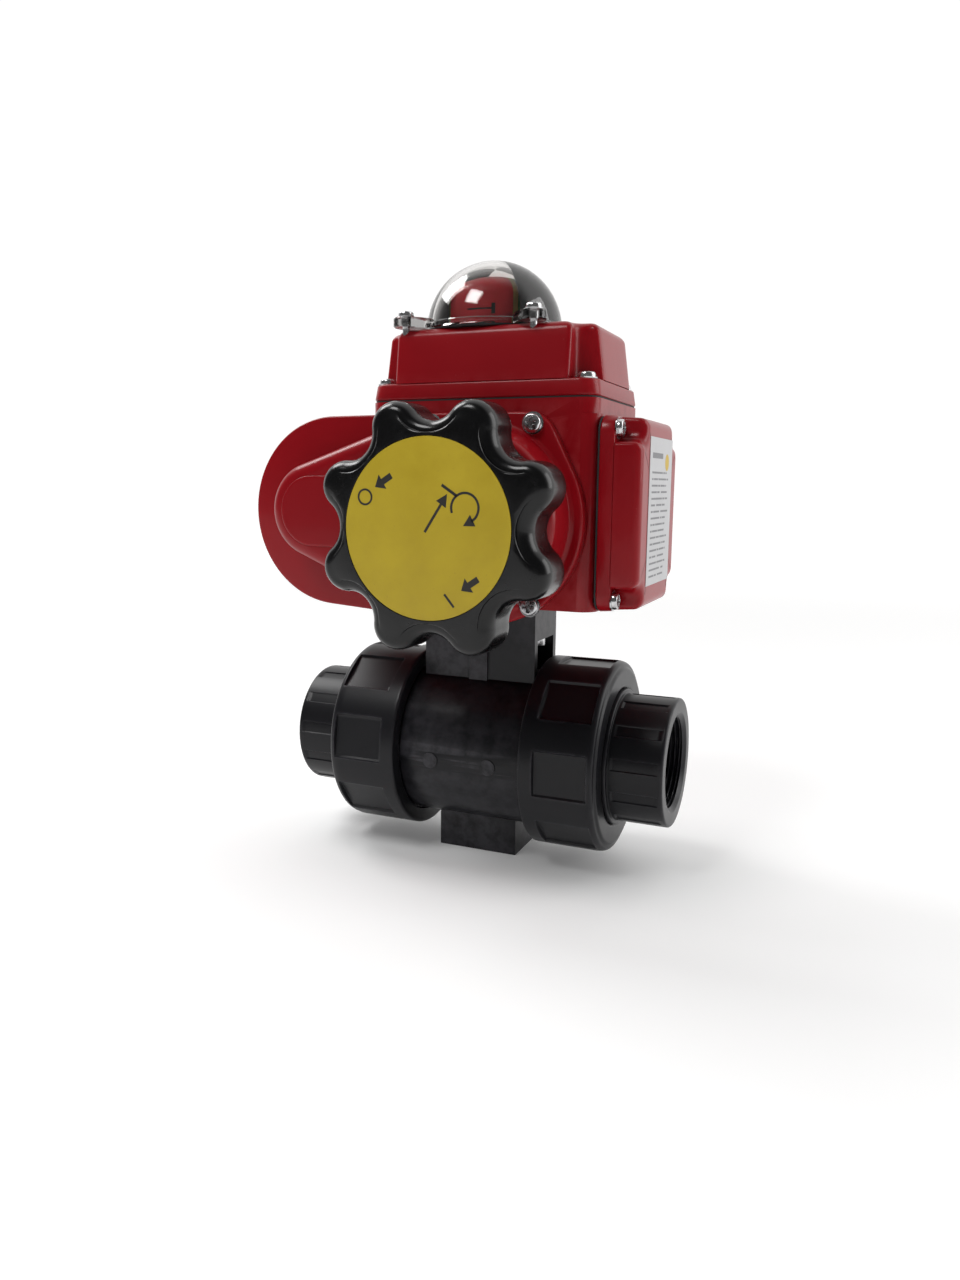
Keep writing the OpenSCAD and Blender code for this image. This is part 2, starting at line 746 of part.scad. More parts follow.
module limit_switches() {
    color("#2b2c30") for (z = [192, 199.6]) {
        slab([switch_x, -11, z], [switch_x + 12, 11, z + 5]);
        slab([switch_x - 3, lever_pin_y - 1, z + 0.2], [switch_x + 1, lever_pin_y + 1, z + 0.9]);
        rod_z(switch_x - 2, lever_pin_y, 0.9, z + 0.5, z + 4.6);
    }
}

// A sprung lever on its pivot pin, beside a cam
module lever(z) {
    color("#c3c6ca") difference() {
        union() {
            rod_z(switch_x - 2, lever_pin_y, 1.7, z + 1.2, z + 4.2);
            slab([switch_x - 2.6, -9, z + 1.2], [switch_x - 2, lever_pin_y, z + 4.2]);
            rod_z(switch_x - 3.6, -9, 1.6, z + 1.2, z + 4.2);
        }
        rod_z(switch_x - 2, lever_pin_y, 0.9 + gap, z, z + 6);
    }
}

module switch_lever_open() {
    lever(192);
}

module switch_lever_closed() {
    lever(199.6);
}

module switch_bracket() {
    color("#a7aab0") difference() {
        union() {
            slab([switch_x - 1, -14, 189.8], [46, 14, 191.8]);
            for (s = [-1, 1]) slab([42, s * 11 - 3, base_z + 5], [44, s * 11 + 3, 190]);
            for (s = [-1, 1]) slab([42, s * 11 - 3, base_z + 5], [54, s * 11 + 3, base_z + 7]);
        }
        rod_z(50, 11, 1.6, base_z, base_z + 10);
        rod_z(50, -11, 1.6, base_z, base_z + 10);
    }
}

module circuit_board() {
    color("#1f6b3a") slab([-35, board_y, 184], [22, board_y + board_t, 224]);
    color("#1f6b3a") for (x = [-9, 6]) slab([x, 22, 196], [x + 10, board_y + 0.1, 210]);
}

module capacitor() {
    color("#20242c") rod_y(-22, 206, 9, 12, board_y);
}

module terminal_block() {
    color("#2f5f46") difference() {
        slab([60, -21, block_z], [76, 21, block_z + 16]);
        for (i = [-3 : 3]) rod_x(i * 6 - 1, 180, 1.8, 70, 77);
        for (i = [-3 : 3]) slab([72, i * 6 - 3, 167], [77, i * 6 + 1, 174]);
    }
}

module conduit_plug() {
    color("#26272a") {
        rod_y(conduit_x, conduit_zs[1], conduit_r - 0.02, body_y - 6, body_y + 5);
        translate([conduit_x, body_y + 9, conduit_zs[1]]) rotate([90, 0, 0]) cylinder(r = 13, h = 4, $fn = 6);
    }
}

// ---- Fasteners ----

module gear_cover_screws() {
    color("#c3c6ca") for (p = gear_screws) translate([p.x, flange_y, p.y]) rotate([90, 0, 0])
        pan_screw(screw_r, 3, 1.98, 10);
}

module top_cover_screws() {
    color("#c3c6ca") for (p = cover_screws) translate([p.x, p.y, top_ledge]) pan_screw(screw_r, 3, 1.98, 16);
}

module terminal_cover_screws() {
    color("#c3c6ca") for (p = terminal_screws) translate([side_ledge, p.x, p.y]) rotate([0, 90, 0])
        pan_screw(screw_r, 3, 1.98, 14);
}

module dome_screws() {
    color("#c3c6ca") for (x = [-ear, ear]) for (y = [-ear, ear])
        translate([x, y, dome_seat_z + 4.5]) pan_screw(4, 3, 1.58, 8);
}

module mount_bolts() {
    color("#c3c6ca") for (p = pad_bolts) translate([p.x, p.y, pad_z]) {
        difference() {
            translate([0, 0, -5]) cylinder(r = 4.25, h = 5);
            translate([0, 0, -6]) cylinder(r = 2.3, h = 3.5, $fn = 6);
        }
        cylinder(r = 2.68, h = base_z - pad_z + 4.8);
    }
}

valve_body();
end_connector_left();
end_connector_right();
union_nut_left();
union_nut_right();
ball();
stem();
stem_seals();
ball_seats();
seat_seals();
seat_retainer();
face_seals();
main_housing();
gear_cover();
gear_cover_gasket();
top_cover();
top_gasket();
terminal_cover();
terminal_gasket();
rating_label();
dome();
dome_mask();
dome_seal();
indicator_drum();
output_shaft();
worm_wheel();
stop_arm();
stop_bolts();
lower_bush();
upper_bush();
limit_cams();
cam_spacer();
drive_coupling();
worm_shaft();
worm_gear();
worm_bearings();
motor();
motor_pinion();
handwheel();
handwheel_label();
handwheel_shaft();
hand_gear();
hand_bush();
push_spring();
push_washer();
limit_switches();
switch_lever_open();
switch_lever_closed();
switch_bracket();
circuit_board();
capacitor();
terminal_block();
conduit_plug();
gear_cover_screws();
top_cover_screws();
terminal_cover_screws();
dome_screws();
mount_bolts();
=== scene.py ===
import json
import math

import bmesh
import bpy
import numpy as np
from mathutils import Matrix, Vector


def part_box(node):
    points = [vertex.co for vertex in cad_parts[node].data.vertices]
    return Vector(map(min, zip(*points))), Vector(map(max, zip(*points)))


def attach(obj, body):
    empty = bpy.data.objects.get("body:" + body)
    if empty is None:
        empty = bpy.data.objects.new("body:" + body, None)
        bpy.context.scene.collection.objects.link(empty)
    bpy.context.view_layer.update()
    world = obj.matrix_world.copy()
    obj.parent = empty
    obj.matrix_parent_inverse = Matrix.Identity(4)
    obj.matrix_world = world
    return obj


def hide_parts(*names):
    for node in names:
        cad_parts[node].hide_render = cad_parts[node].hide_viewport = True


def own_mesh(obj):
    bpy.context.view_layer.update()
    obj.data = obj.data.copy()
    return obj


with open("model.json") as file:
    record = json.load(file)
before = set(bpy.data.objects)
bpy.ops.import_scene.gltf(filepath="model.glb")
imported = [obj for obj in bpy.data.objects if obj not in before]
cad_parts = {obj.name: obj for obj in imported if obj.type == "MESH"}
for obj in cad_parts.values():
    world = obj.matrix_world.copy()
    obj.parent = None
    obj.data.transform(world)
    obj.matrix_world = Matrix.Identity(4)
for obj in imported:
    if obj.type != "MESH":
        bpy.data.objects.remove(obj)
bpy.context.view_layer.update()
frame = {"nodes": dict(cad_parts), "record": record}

# A quarter-turn electric actuator on a true-union ball valve. All lengths below are
# millimetres, in the frame's own axes: +X along the pipe, -Y to the front, +Z up.
MM = 0.001
TAU = 2 * math.pi


def span(node):
    """Lowest and highest corner of a CAD node, in millimetres."""
    low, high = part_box(node)
    return np.array(low) / MM, np.array(high) / MM


# ---------------------------------------------------------------- shader maths


class Value:
    """A shader socket. Arithmetic between Values and numbers adds Math nodes."""

    def __init__(self, tree, socket):
        self.tree = tree
        self.socket = socket

    def math(self, operation, *inputs):
        node = self.tree.nodes.new("ShaderNodeMath")
        node.operation = operation
        for slot, item in zip(node.inputs, inputs):
            if isinstance(item, Value):
                self.tree.links.new(item.socket, slot)
            else:
                slot.default_value = item
        return Value(self.tree, node.outputs[0])

    def __add__(self, other):
        return self.math("ADD", self, other)

    __radd__ = __add__

    def __sub__(self, other):
        return self.math("SUBTRACT", self, other)

    def __rsub__(self, other):
        return self.math("SUBTRACT", other, self)

    def __mul__(self, other):
        return self.math("MULTIPLY", self, other)

    __rmul__ = __mul__

    def __truediv__(self, other):
        return self.math("DIVIDE", self, other)

    def __rtruediv__(self, other):
        return self.math("DIVIDE", other, self)

    def __abs__(self):
        return self.math("ABSOLUTE", self)

    def root(self):
        return self.math("SQRT", self)

    def fraction(self):
        return self.math("FRACT", self)

    def at_least(self, other):
        return self.math("MAXIMUM", self, other)

    def over(self, low, high):
        """0 below low, 1 above high, straight between."""
        return self.math("MULTIPLY_ADD", self, 1 / (high - low), -low / (high - low)).clamped()

    def clamped(self):
        return self.math("MINIMUM", self.at_least(0.0), 1.0)


class Nodes:
    """A node tree being built, with the one call that adds nodes to it."""

    def __init__(self, tree):
        self.tree = tree

    def add(self, kind, settings=None, sockets=None, out=0):
        """Adds a node of that kind, sets its settings, fills its sockets, returns one output."""
        node = self.tree.nodes.new(kind)
        for key, item in (settings or {}).items():
            setattr(node, key, item)
        for key, item in (sockets or {}).items():
            self.fill(node.inputs[key], item)
        return Value(self.tree, node.outputs[out])

    def fill(self, slot, item):
        """Links a Value to a socket, or puts a number, vector or colour on it."""
        if isinstance(item, Value):
            self.tree.links.new(item.socket, slot)
        else:
            slot.default_value = (*item, 1.0) if slot.type == "RGBA" else item

    def axes(self, place):
        """The x, y and z of a vector as three Values."""
        return [self.add("ShaderNodeSeparateXYZ", sockets={"Vector": place}, out=axis) for axis in "XYZ"]


class Finish(Nodes):
    """One material being built: its shader and the patterns on it."""

    def __init__(self, name):
        self.material = bpy.data.materials.new(name)
        self.material.use_nodes = True
        super().__init__(self.material.node_tree)
        self.shader = self.tree.nodes["Principled BSDF"]
        self.place = self.add("ShaderNodeTexCoord", out="Object")

    def noise(self, scale, detail=3.0, roughness=0.5, place=None):
        """Fractal noise on the object's own coordinates, about 0.5; scale is per metre."""
        sockets = {"Vector": place or self.place, "Scale": scale, "Detail": detail, "Roughness": roughness}
        return self.add("ShaderNodeTexNoise", sockets=sockets)

    def wear_and_glint(self, low, high):
        """1 on convex edges, 0 on flats and in hollows, broken up by noise: the mask that lightens edges, as
        edge wear and as a painted highlight.
        """
        edge = self.add("ShaderNodeNewGeometry", out="Pointiness")
        return edge.over(low, high) * self.noise(160, 3, 0.6).over(0.30, 0.60)

    def stretched(self, x, y, z):
        """The object's coordinates scaled apart, for streaks along one direction."""
        return self.add("ShaderNodeMapping", sockets={"Vector": self.place, "Scale": (x, y, z)})

    def blend(self, mask, below, above):
        """A colour that goes from below to above as mask goes from 0 to 1."""
        return self.add("ShaderNodeMix", {"data_type": "RGBA"}, {0: mask, 6: below, 7: above}, out=2)

    def bump(self, height, strength, distance=0.0002):
        """Feeds the shader's normal from a height."""
        sockets = {"Height": height, "Strength": strength, "Distance": distance}
        self.fill(self.shader.inputs["Normal"], self.add("ShaderNodeBump", sockets=sockets))

    def set(self, **sockets):
        """Sets the shader's sockets: a Value is linked, a number or colour is put on the socket."""
        names = {"colour": "Base Color", "roughness": "Roughness", "metallic": "Metallic",
                 "coat": "Coat Weight", "coat_roughness": "Coat Roughness", "ior": "IOR",
                 "clear": "Transmission Weight", "specular": "Specular IOR Level",
                 "glow": "Emission Color", "glow_strength": "Emission Strength"}
        for key, item in sockets.items():
            self.fill(self.shader.inputs[names[key]], item)
        return self.material


# ---------------------------------------------------------------- finishes


def gloss_paint():
    """Crimson powder coat over a casting: orange peel, a few dust specks, soft waviness."""
    f = Finish("crimson_paint")
    shade = f.noise(26, 3)
    specks = f.noise(1500, 1, 0.4).over(0.78, 0.84)
    peel = f.noise(620, 2, 0.45)
    # Convex edges turn a paler red: partly edge wear, partly a painted highlight along them.
    edges = f.wear_and_glint(0.51, 0.60)
    waves = f.noise(90, 2)
    colour = f.blend(shade, (0.235, 0.0020, 0.0060), (0.285, 0.0032, 0.0080))
    dusted = f.blend(specks * 0.5, colour, (0.35, 0.10, 0.10))
    f.bump(peel * 0.6 + waves * 0.9, 0.14, 0.0002)
    return f.set(
        colour=f.blend(edges * 0.4, dusted, (0.42, 0.045, 0.05)),
        roughness=0.26 + 0.08 * shade + 0.2 * specks,
        coat=0.13, coat_roughness=0.06, specular=0.17,
    )


def moulded_grey():
    """Charcoal pipe plastic: satin, fine grain, faint flow marks along the pipe and light dust."""
    f = Finish("charcoal_plastic")
    flow = f.noise(30, 3, 0.55, f.stretched(0.35, 1.0, 1.0)).over(0.3, 0.72)
    grain = f.noise(1300, 2, 0.6)
    dust = f.noise(420, 5, 0.7).over(0.60, 0.78)
    # Convex edges turn a lighter grey: partly edge wear, partly a painted highlight along them.
    edges = f.wear_and_glint(0.505, 0.56)
    colour = f.blend(flow, (0.0066, 0.0066, 0.0084), (0.0084, 0.0083, 0.0104))
    dusted = f.blend(dust * 0.16, colour, (0.030, 0.029, 0.032))
    f.bump(grain * 0.5 + flow * 0.2, 0.14, 0.00012)
    return f.set(
        colour=f.blend(edges * 0.8, dusted, (0.050, 0.048, 0.056)),
        roughness=0.31 + 0.07 * flow + 0.12 * dust,
        specular=0.26,
    )


def handwheel_gloss():
    """Black moulded gloss with a soft ripple, hairline handling marks, and edges lightened as wear and as a
    painted highlight.
    """
    f = Finish("handwheel_gloss")
    handling = f.noise(240, 3, 0.6).over(0.50, 0.80)
    ripple = f.noise(55, 2)
    # Handling marks plus lighter convex edges; the edges are both wear and a painted highlight.
    rubbed_and_glinting = (handling * 0.3 + f.wear_and_glint(0.51, 0.58)).clamped()
    f.bump(ripple + handling * 0.05, 0.10, 0.0003)
    return f.set(
        colour=f.blend(rubbed_and_glinting, (0.0030, 0.0030, 0.0033), (0.010, 0.010, 0.011)),
        roughness=0.20 + 0.08 * handling + 0.06 * f.noise(24, 2),
        coat=0.16, coat_roughness=0.08, specular=0.26,
    )


def printed_yellow():
    """Mustard film with an uneven print and a faint press pattern."""
    f = Finish("mustard_film")
    mottle = f.noise(60, 4, 0.6).over(0.3, 0.7)
    fleck = f.noise(1100, 2).over(0.70, 0.76)
    f.bump(f.noise(260, 3), 0.10, 0.0001)
    colour = f.blend(mottle, (0.440, 0.315, 0.004), (0.500, 0.365, 0.008))
    return f.set(colour=f.blend(fleck * 0.4, colour, (0.30, 0.20, 0.02)), roughness=0.42 + 0.14 * mottle)


def turned_metal(name, dark, light, roughness, streak=(1.0, 1.0, 22.0)):
    """Metal with fine tool streaks along one direction and a little tarnish."""
    f = Finish(name)
    streaks = f.noise(260, 3, 0.6, f.stretched(*streak))
    tarnish = f.noise(75, 4, 0.6).over(0.42, 0.72)
    f.bump(streaks, 0.18, 0.00006)
    return f.set(
        colour=f.blend(tarnish, light, dark), metallic=1.0,
        roughness=roughness + 0.14 * streaks + 0.10 * tarnish,
    )


def plain_plastic(name, dark, light, roughness, grain=900.0, depth=0.12):
    """Moulded plastic or rubber: two close shades in soft clouds under an even grain."""
    f = Finish(name)
    clouds = f.noise(48, 4, 0.55).over(0.3, 0.7)
    texture = f.noise(grain, 3, 0.6)
    f.bump(texture, depth, 0.00012)
    return f.set(colour=f.blend(clouds, dark, light), roughness=roughness + 0.14 * clouds + 0.10 * texture)


def clear_shell():
    """Clear polycarbonate, very slightly smoked, with faint waviness."""
    f = Finish("clear_polycarbonate")
    waves = f.noise(55, 2)
    f.bump(waves, 0.05, 0.0002)
    smoke = f.noise(40, 3).over(0.3, 0.7)
    x, y, _ = f.axes(f.place)
    outward = (x * x + y * y).root()
    lugs = outward.over(0.0362, 0.0372)
    dome = f.blend(smoke, (0.74, 0.725, 0.71), (0.82, 0.805, 0.79))
    return f.set(
        colour=f.blend(lugs, dome, (0.40, 0.395, 0.39)),
        roughness=0.02 + 0.03 * waves.over(0.45, 0.8) + 0.10 * lugs, clear=1.0, ior=1.5,
    )


def two_way_indicator():
    """Drum colours by direction: red quarters front and back, green at the sides, brass between."""
    f = Finish("indicator_colours")
    x, y, _ = f.axes(f.place)
    lean = abs(y) - abs(x)
    red = lean.over(0.0005, 0.0008)
    edge = 1 - abs(lean + 0.0012).over(0.0016, 0.0019)
    mottle = f.noise(90, 3).over(0.3, 0.7)
    colour = f.blend(red, (0.02, 0.20, 0.05), (0.62, 0.020, 0.032))
    f.bump(f.noise(500, 2), 0.08, 0.0001)
    return f.set(
        colour=f.blend(edge, f.blend(mottle * 0.25, colour, (0.45, 0.03, 0.04)), (0.42, 0.28, 0.09)),
        roughness=0.34 + 0.12 * mottle,
    )


def printed_board():
    """Green board lacquer over faint copper tracks."""
    f = Finish("board_lacquer")
    x, _, _ = f.axes(f.place)
    track = abs((x * 220).fraction() - 0.5).over(0.30, 0.34)
    f.bump(track, 0.2, 0.00004)
    return f.set(
        colour=f.blend(track * f.noise(120, 1).over(0.48, 0.52), (0.010, 0.11, 0.035), (0.03, 0.20, 0.07)),
        roughness=0.28 + 0.14 * f.noise(200, 2),
    )


STEEL = ((0.33, 0.33, 0.34), (0.60, 0.60, 0.61))
FINISHES = {
    "grey_pvc": moulded_grey(),
    "ball_plastic": plain_plastic("ball_plastic", (0.20, 0.21, 0.22), (0.26, 0.27, 0.28), 0.16),
    "stem_plastic": plain_plastic("stem_plastic", (0.07, 0.075, 0.09), (0.09, 0.095, 0.11), 0.35),
    "seal_rubber": plain_plastic(
        "seal_rubber", (0.012, 0.012, 0.013), (0.020, 0.020, 0.021), 0.62, 1500.0, 0.25),
    "seat_plastic": plain_plastic("seat_plastic", (0.70, 0.68, 0.60), (0.78, 0.76, 0.69), 0.32),
    "red_paint": gloss_paint(),
    "label_film": plain_plastic("label_film", (0.48, 0.48, 0.49), (0.54, 0.54, 0.55), 0.40, 700.0, 0.05),
    "clear_dome": clear_shell(),
    "mask_black": plain_plastic(
        "mask_black", (0.006, 0.006, 0.007), (0.010, 0.010, 0.011), 0.22, 600.0, 0.05),
    "indicator_red": two_way_indicator(),
    "shaft_steel": turned_metal("turned_steel", *STEEL, 0.22),
    "gear_bronze": turned_metal("cut_bronze", (0.35, 0.22, 0.08), (0.62, 0.43, 0.19), 0.26),
    "screw_steel": turned_metal("screw_steel", (0.40, 0.40, 0.41), (0.72, 0.72, 0.73), 0.13, (3.0, 3.0, 3.0)),
    "motor_can": turned_metal("motor_can", (0.30, 0.30, 0.32), (0.48, 0.48, 0.50), 0.34, (1.0, 14.0, 1.0)),
    "handwheel_black": handwheel_gloss(),
    "disc_yellow": printed_yellow(),
    "switch_black": plain_plastic("switch_black", (0.015, 0.015, 0.017), (0.026, 0.026, 0.029), 0.42),
    "lever_steel": turned_metal("lever_steel", *STEEL, 0.26, (1.0, 12.0, 1.0)),
    "board_green": printed_board(),
    "capacitor_film": plain_plastic(
        "capacitor_film", (0.010, 0.014, 0.030), (0.018, 0.024, 0.044), 0.22, 400.0, 0.05),
    "terminal_green": plain_plastic("terminal_green", (0.020, 0.10, 0.05), (0.030, 0.14, 0.07), 0.36),
}
PRINT_INK = plain_plastic("print_ink", (0.010, 0.009, 0.008), (0.018, 0.016, 0.014), 0.38, 600.0, 0.04)
LABEL_INK = plain_plastic("label_ink", (0.16, 0.16, 0.17), (0.22, 0.22, 0.23), 0.42, 600.0, 0.04)
LABEL_AMBER = plain_plastic("label_amber", (0.50, 0.33, 0.03), (0.58, 0.40, 0.05), 0.42, 600.0, 0.04)


# ---------------------------------------------------------------- mesh helpers


def piece(name, points, faces, slot, body, stands_for=(), crease=32.0, material=None):
    """Puts points (millimetres) and faces into a mesh, closes it, turns it outwards and registers it."""
    mesh = bpy.data.meshes.new(name)
    mesh.from_pydata((np.asarray(points) * MM).tolist(), [], np.asarray(faces).tolist())
    work = bmesh.new()
    work.from_mesh(mesh)
    bmesh.ops.remove_doubles(work, verts=work.verts, dist=2e-6)
    bmesh.ops.dissolve_degenerate(work, edges=work.edges, dist=1e-7)
    bmesh.ops.recalc_face_normals(work, faces=work.faces)
    work.to_mesh(mesh)
    work.free()
    mesh.shade_smooth()
    mesh.set_sharp_from_angle(angle=math.radians(crease))
    mesh.materials.append(material or FINISHES[slot])
    made = bpy.data.objects.new(name, mesh)
    bpy.context.scene.collection.objects.link(made)
    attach(made, body)
    if stands_for:
        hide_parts(*stands_for)
    return made


def skin(rings):
    """Points and quads of a stack of closed rings, an array of rows by columns by 3."""
    rows, columns, _ = rings.shape
    i = np.arange(rows - 1)[:, None] * columns
    j = np.arange(columns)[None, :]
    k = (j + 1) % columns
    quads = np.stack([i + j, i + k, i + columns + k, i + columns + j], axis=-1).reshape(-1, 4)
    return rings.reshape(-1, 3), quads


def many(parts):
    """Joins several (points, quads) pairs into one."""
    starts = np.cumsum([0] + [len(points) for points, _ in parts[:-1]])
    return (
        np.concatenate([points for points, _ in parts]),
        np.concatenate([quads + start for (_, quads), start in zip(parts, starts)]),
    )


def rounded(corners, steps=7):
    """A profile through corners (along, radius, rounding), each rounded by the curve
    (1-t)^2 A + 2t(1-t) P + t^2 B between the points A and B at that distance on either side."""
    spots = np.array([corner[:2] for corner in corners], float)
    made = [spots[0]]
    t = np.linspace(0, 1, steps)[:, None]
    for before, at, after, corner in zip(spots, spots[1:], spots[2:], corners[1:-1]):
        reach = corner[2]
        if reach <= 0:
            made.append(at)
            continue
        to_a, to_b = before - at, after - at
        a = at + to_a * min(0.5, reach / np.linalg.norm(to_a))
        b = at + to_b * min(0.5, reach / np.linalg.norm(to_b))
        made.extend((1 - t) ** 2 * a + 2 * t * (1 - t) * at + t**2 * b)
    made.append(spots[-1])
    return np.array(made)


def refined(profile, step):
    """The profile with points added so that none is further than step from the next."""
    lengths = np.linalg.norm(np.diff(profile, axis=0), axis=1)
    along = np.concatenate([[0], np.cumsum(lengths)])
    extra = [np.linspace(a, b, int((b - a) / step) + 2)[1:-1] for a, b in zip(along, along[1:])]
    places = np.unique(np.concatenate([along] + extra))
    return np.stack([np.interp(places, along, profile[:, n]) for n in (0, 1)], axis=1)


def turned(profile, angles, axis, centre, shape=None):
    """Rings of a turned part: each profile point (along, radius) carried round the axis,
    its radius passed through shape(along, radius, angle)."""
    along = profile[:, :1]
    radius = profile[:, 1:] + 0 * angles[None, :]
    if shape:
        radius = shape(along, radius, angles[None, :])
    across, up, on = radius * np.cos(angles), radius * np.sin(angles), along + 0 * radius
    a, b = centre
    order = {"X": (on, a - across, b + up), "Y": (a + across, on, b + up), "Z": (a + across, b + up, on)}
    return np.stack(order[axis], axis=-1)


def step_up(x, low, high):
    """0 below low, 1 above high, with a smooth 3t^2 - 2t^3 rise between."""
    t = np.clip((x - low) / (high - low), 0, 1)
    return t * t * (3 - 2 * t)


def plateau(x, rise, fall):
    """0 before the rise span, 1 between the two spans, 0 after the fall span, smooth in both."""
    return step_up(x, *rise) * (1 - step_up(x, *fall))


def round_angles(count):
    """Equally spaced angles of one full turn."""
    return np.arange(count) * TAU / count


def drawn_in(loop, distance):
    """The loop moved inwards along its normals, the loop running anticlockwise."""
    along = np.roll(loop, -1, axis=0) - np.roll(loop, 1, axis=0)
    normal = np.stack([-along[:, 1], along[:, 0]], axis=1)
    return loop + distance * normal / np.maximum(np.linalg.norm(normal, axis=1, keepdims=True), 1e-9)


def standing(loop, y):
    """A loop of x and z put upright at a depth."""
    return np.stack([loop[:, 0], y + 0 * loop[:, 0], loop[:, 1]], axis=1)


# ---------------------------------------------------------------- valve

PIPE_Z = float(sum(span("end_connector_right")[k][2] for k in (0, 1)) / 2)
END_X = float(span("end_connector_right")[1][0])
NUT_LOW, NUT_HIGH = (float(span("union_nut_right")[k][0]) for k in (0, 1))
NUT_R = 48.0
HUB_R = 31.8
THREAD_R = 22.42
THREAD_PITCH = 2.309
THREAD_DEPTH = 1.3


def union_nut(side, turn):
    """A nut: a rounded ring with eight flat-bottomed finger recesses. Inside a recess the radius is
    the smaller of the ring's and floor / cos(angle from the recess's middle)."""
    floor, half, fade = NUT_R - 2.4, math.radians(13.6), math.radians(0.9)

    def recesses(along, radius, angles):
        local = (angles - math.radians(turn) + TAU / 16) % (TAU / 8) - TAU / 16
        across = 1 - step_up(np.abs(local), half - fade, half)
        length = plateau(along, (NUT_LOW + 7.6, NUT_LOW + 8.4), (NUT_HIGH - 4.6, NUT_HIGH - 3.8))
        cut = np.minimum(radius, floor / np.cos(local))
        outside = radius > 42.5
        return np.where(outside, radius + (cut - radius) * across * length, radius)

    low, high = NUT_LOW, NUT_HIGH
    profile = rounded([
        (low + 0.01, 44, 0), (low, 46.6, 1.2), (low + 0.6, NUT_R - 0.1, 1.0), (high - 4.6, NUT_R, 2.5),
        (high - 1.4, NUT_R - 1.0, 1.6), (high - 1.0, NUT_R - 3.2, 0.8), (high, NUT_R - 4.4, 1.0),
        (high, 35.2, 0.8), (high - 0.8, 34.03, 0.5), (57, 34.03, 0), (57, 40.6, 0), (low + 0.02, 40.6, 0.5),
        (low, 44, 0)])
    rings = turned(refined(profile, 0.6), round_angles(480), "X", (0, PIPE_Z), recesses)
    rings[..., 0] *= side
    return skin(rings)


def end_connector(side):
    """A connector: flange, neck ring, hub with twelve shallow axial channels, and a bore whose
    radius follows a helix, thread = depth * rise(fraction of (x / pitch + angle / turn))."""
    sector = TAU / 12

    def ribs_and_thread(along, radius, angles):
        local = (angles - math.radians(8) + sector / 2) % sector - sector / 2
        channel = 1 - step_up(np.abs(local), math.radians(4.6), math.radians(5.4))
        length = plateau(along, (74.0, 74.8), (END_X - 3.2, END_X - 2.2))
        outside = (radius > 30.2) & (radius < 32.2)
        ribbed = np.where(outside, radius - 0.6 * channel * length, radius)
        turn = (along / THREAD_PITCH + angles / TAU) % 1.0
        crest = plateau(turn, (0.08, 0.42), (0.58, 0.92))
        reach = plateau(along, (79.5, 81.5), (END_X - 2.6, END_X - 1.6))
        inside = np.abs(radius - THREAD_R) < 0.02
        return np.where(inside, ribbed + THREAD_DEPTH * crest * reach, ribbed)

    outer = refined(rounded([
        (47.1, 19.5, 0), (47.1, 39.8, 0.6), (56.9, 39.8, 0.3), (56.9, 33.95, 0), (72.5, 33.95, 0.9),
        (72.6, HUB_R, 0.4), (END_X, HUB_R, 1.4), (END_X, 24.7, 0.5), (END_X - 1.8, THREAD_R, 0)]), 1.1)
    bore = np.stack([np.linspace(END_X - 1.9, 79, 110), np.full(110, THREAD_R)], axis=1)
    inner = np.array([(78.9, 19.5), (60.0, 19.5), (47.1, 19.5)])
    rings = turned(np.concatenate([outer, bore, inner]), round_angles(432), "X", (0, PIPE_Z), ribs_and_thread)
    rings[..., 0] *= side
    return skin(rings)


piece("union_nut_right_shell", *union_nut(1, 0), "grey_pvc", "nut_right", ["union_nut_right"], 24)
piece("union_nut_left_shell", *union_nut(-1, 8), "grey_pvc", "nut_left", ["union_nut_left"], 24)
piece("end_connector_right_shell", *end_connector(1), "grey_pvc", "housing", ["end_connector_right"], 26)
piece("end_connector_left_shell", *end_connector(-1), "grey_pvc", "housing", ["end_connector_left"], 26)


# ---------------------------------------------------------------- handwheel

WHEEL_LOW, WHEEL_HIGH = span("handwheel")
DISC_LOW, DISC_HIGH = span("handwheel_label")
HAND_X = float(DISC_LOW[0] + DISC_HIGH[0]) / 2
HAND_Z = float(DISC_LOW[2] + DISC_HIGH[2]) / 2
WHEEL_FRONT = float(WHEEL_LOW[1])
DISC_R = float(DISC_HIGH[0] - DISC_LOW[0]) / 2
LOBE_TIP = 55.7
LOBE_R = 11.0


def lobed_outline():
    """The wheel's outline: round lobes of one radius, joined by hollows that touch them. Along a ray at
    angle u from a circle's centre at distance d the outline is d cos u + sqrt(r^2 - d^2 sin^2 u) on a
    lobe, and the same with a minus sign in a hollow."""
    angles = round_angles(768)
    half = TAU / 16
    reach = LOBE_TIP - LOBE_R
    apart = math.sqrt(reach**2 + LOBE_TIP**2 - 2 * reach * LOBE_TIP * math.cos(half))
    share = LOBE_R / apart
    join = math.atan2(share * LOBE_TIP * math.sin(half), reach + share * (LOBE_TIP * math.cos(half) - reach))
    from_lobe = np.abs(angles % (TAU / 8) - half)
    from_hollow = half - from_lobe
    lobe = reach * np.cos(from_lobe) + np.sqrt(np.maximum(LOBE_R**2 - (reach * np.sin(from_lobe)) ** 2, 0))
    hollow = LOBE_TIP * np.cos(from_hollow) - np.sqrt(
        np.maximum((apart - LOBE_R) ** 2 - (LOBE_TIP * np.sin(from_hollow)) ** 2, 0))
    radius = np.where(from_lobe < join, lobe, hollow)
    return np.stack([HAND_X + radius * np.cos(angles), HAND_Z + radius * np.sin(angles)], axis=1), angles


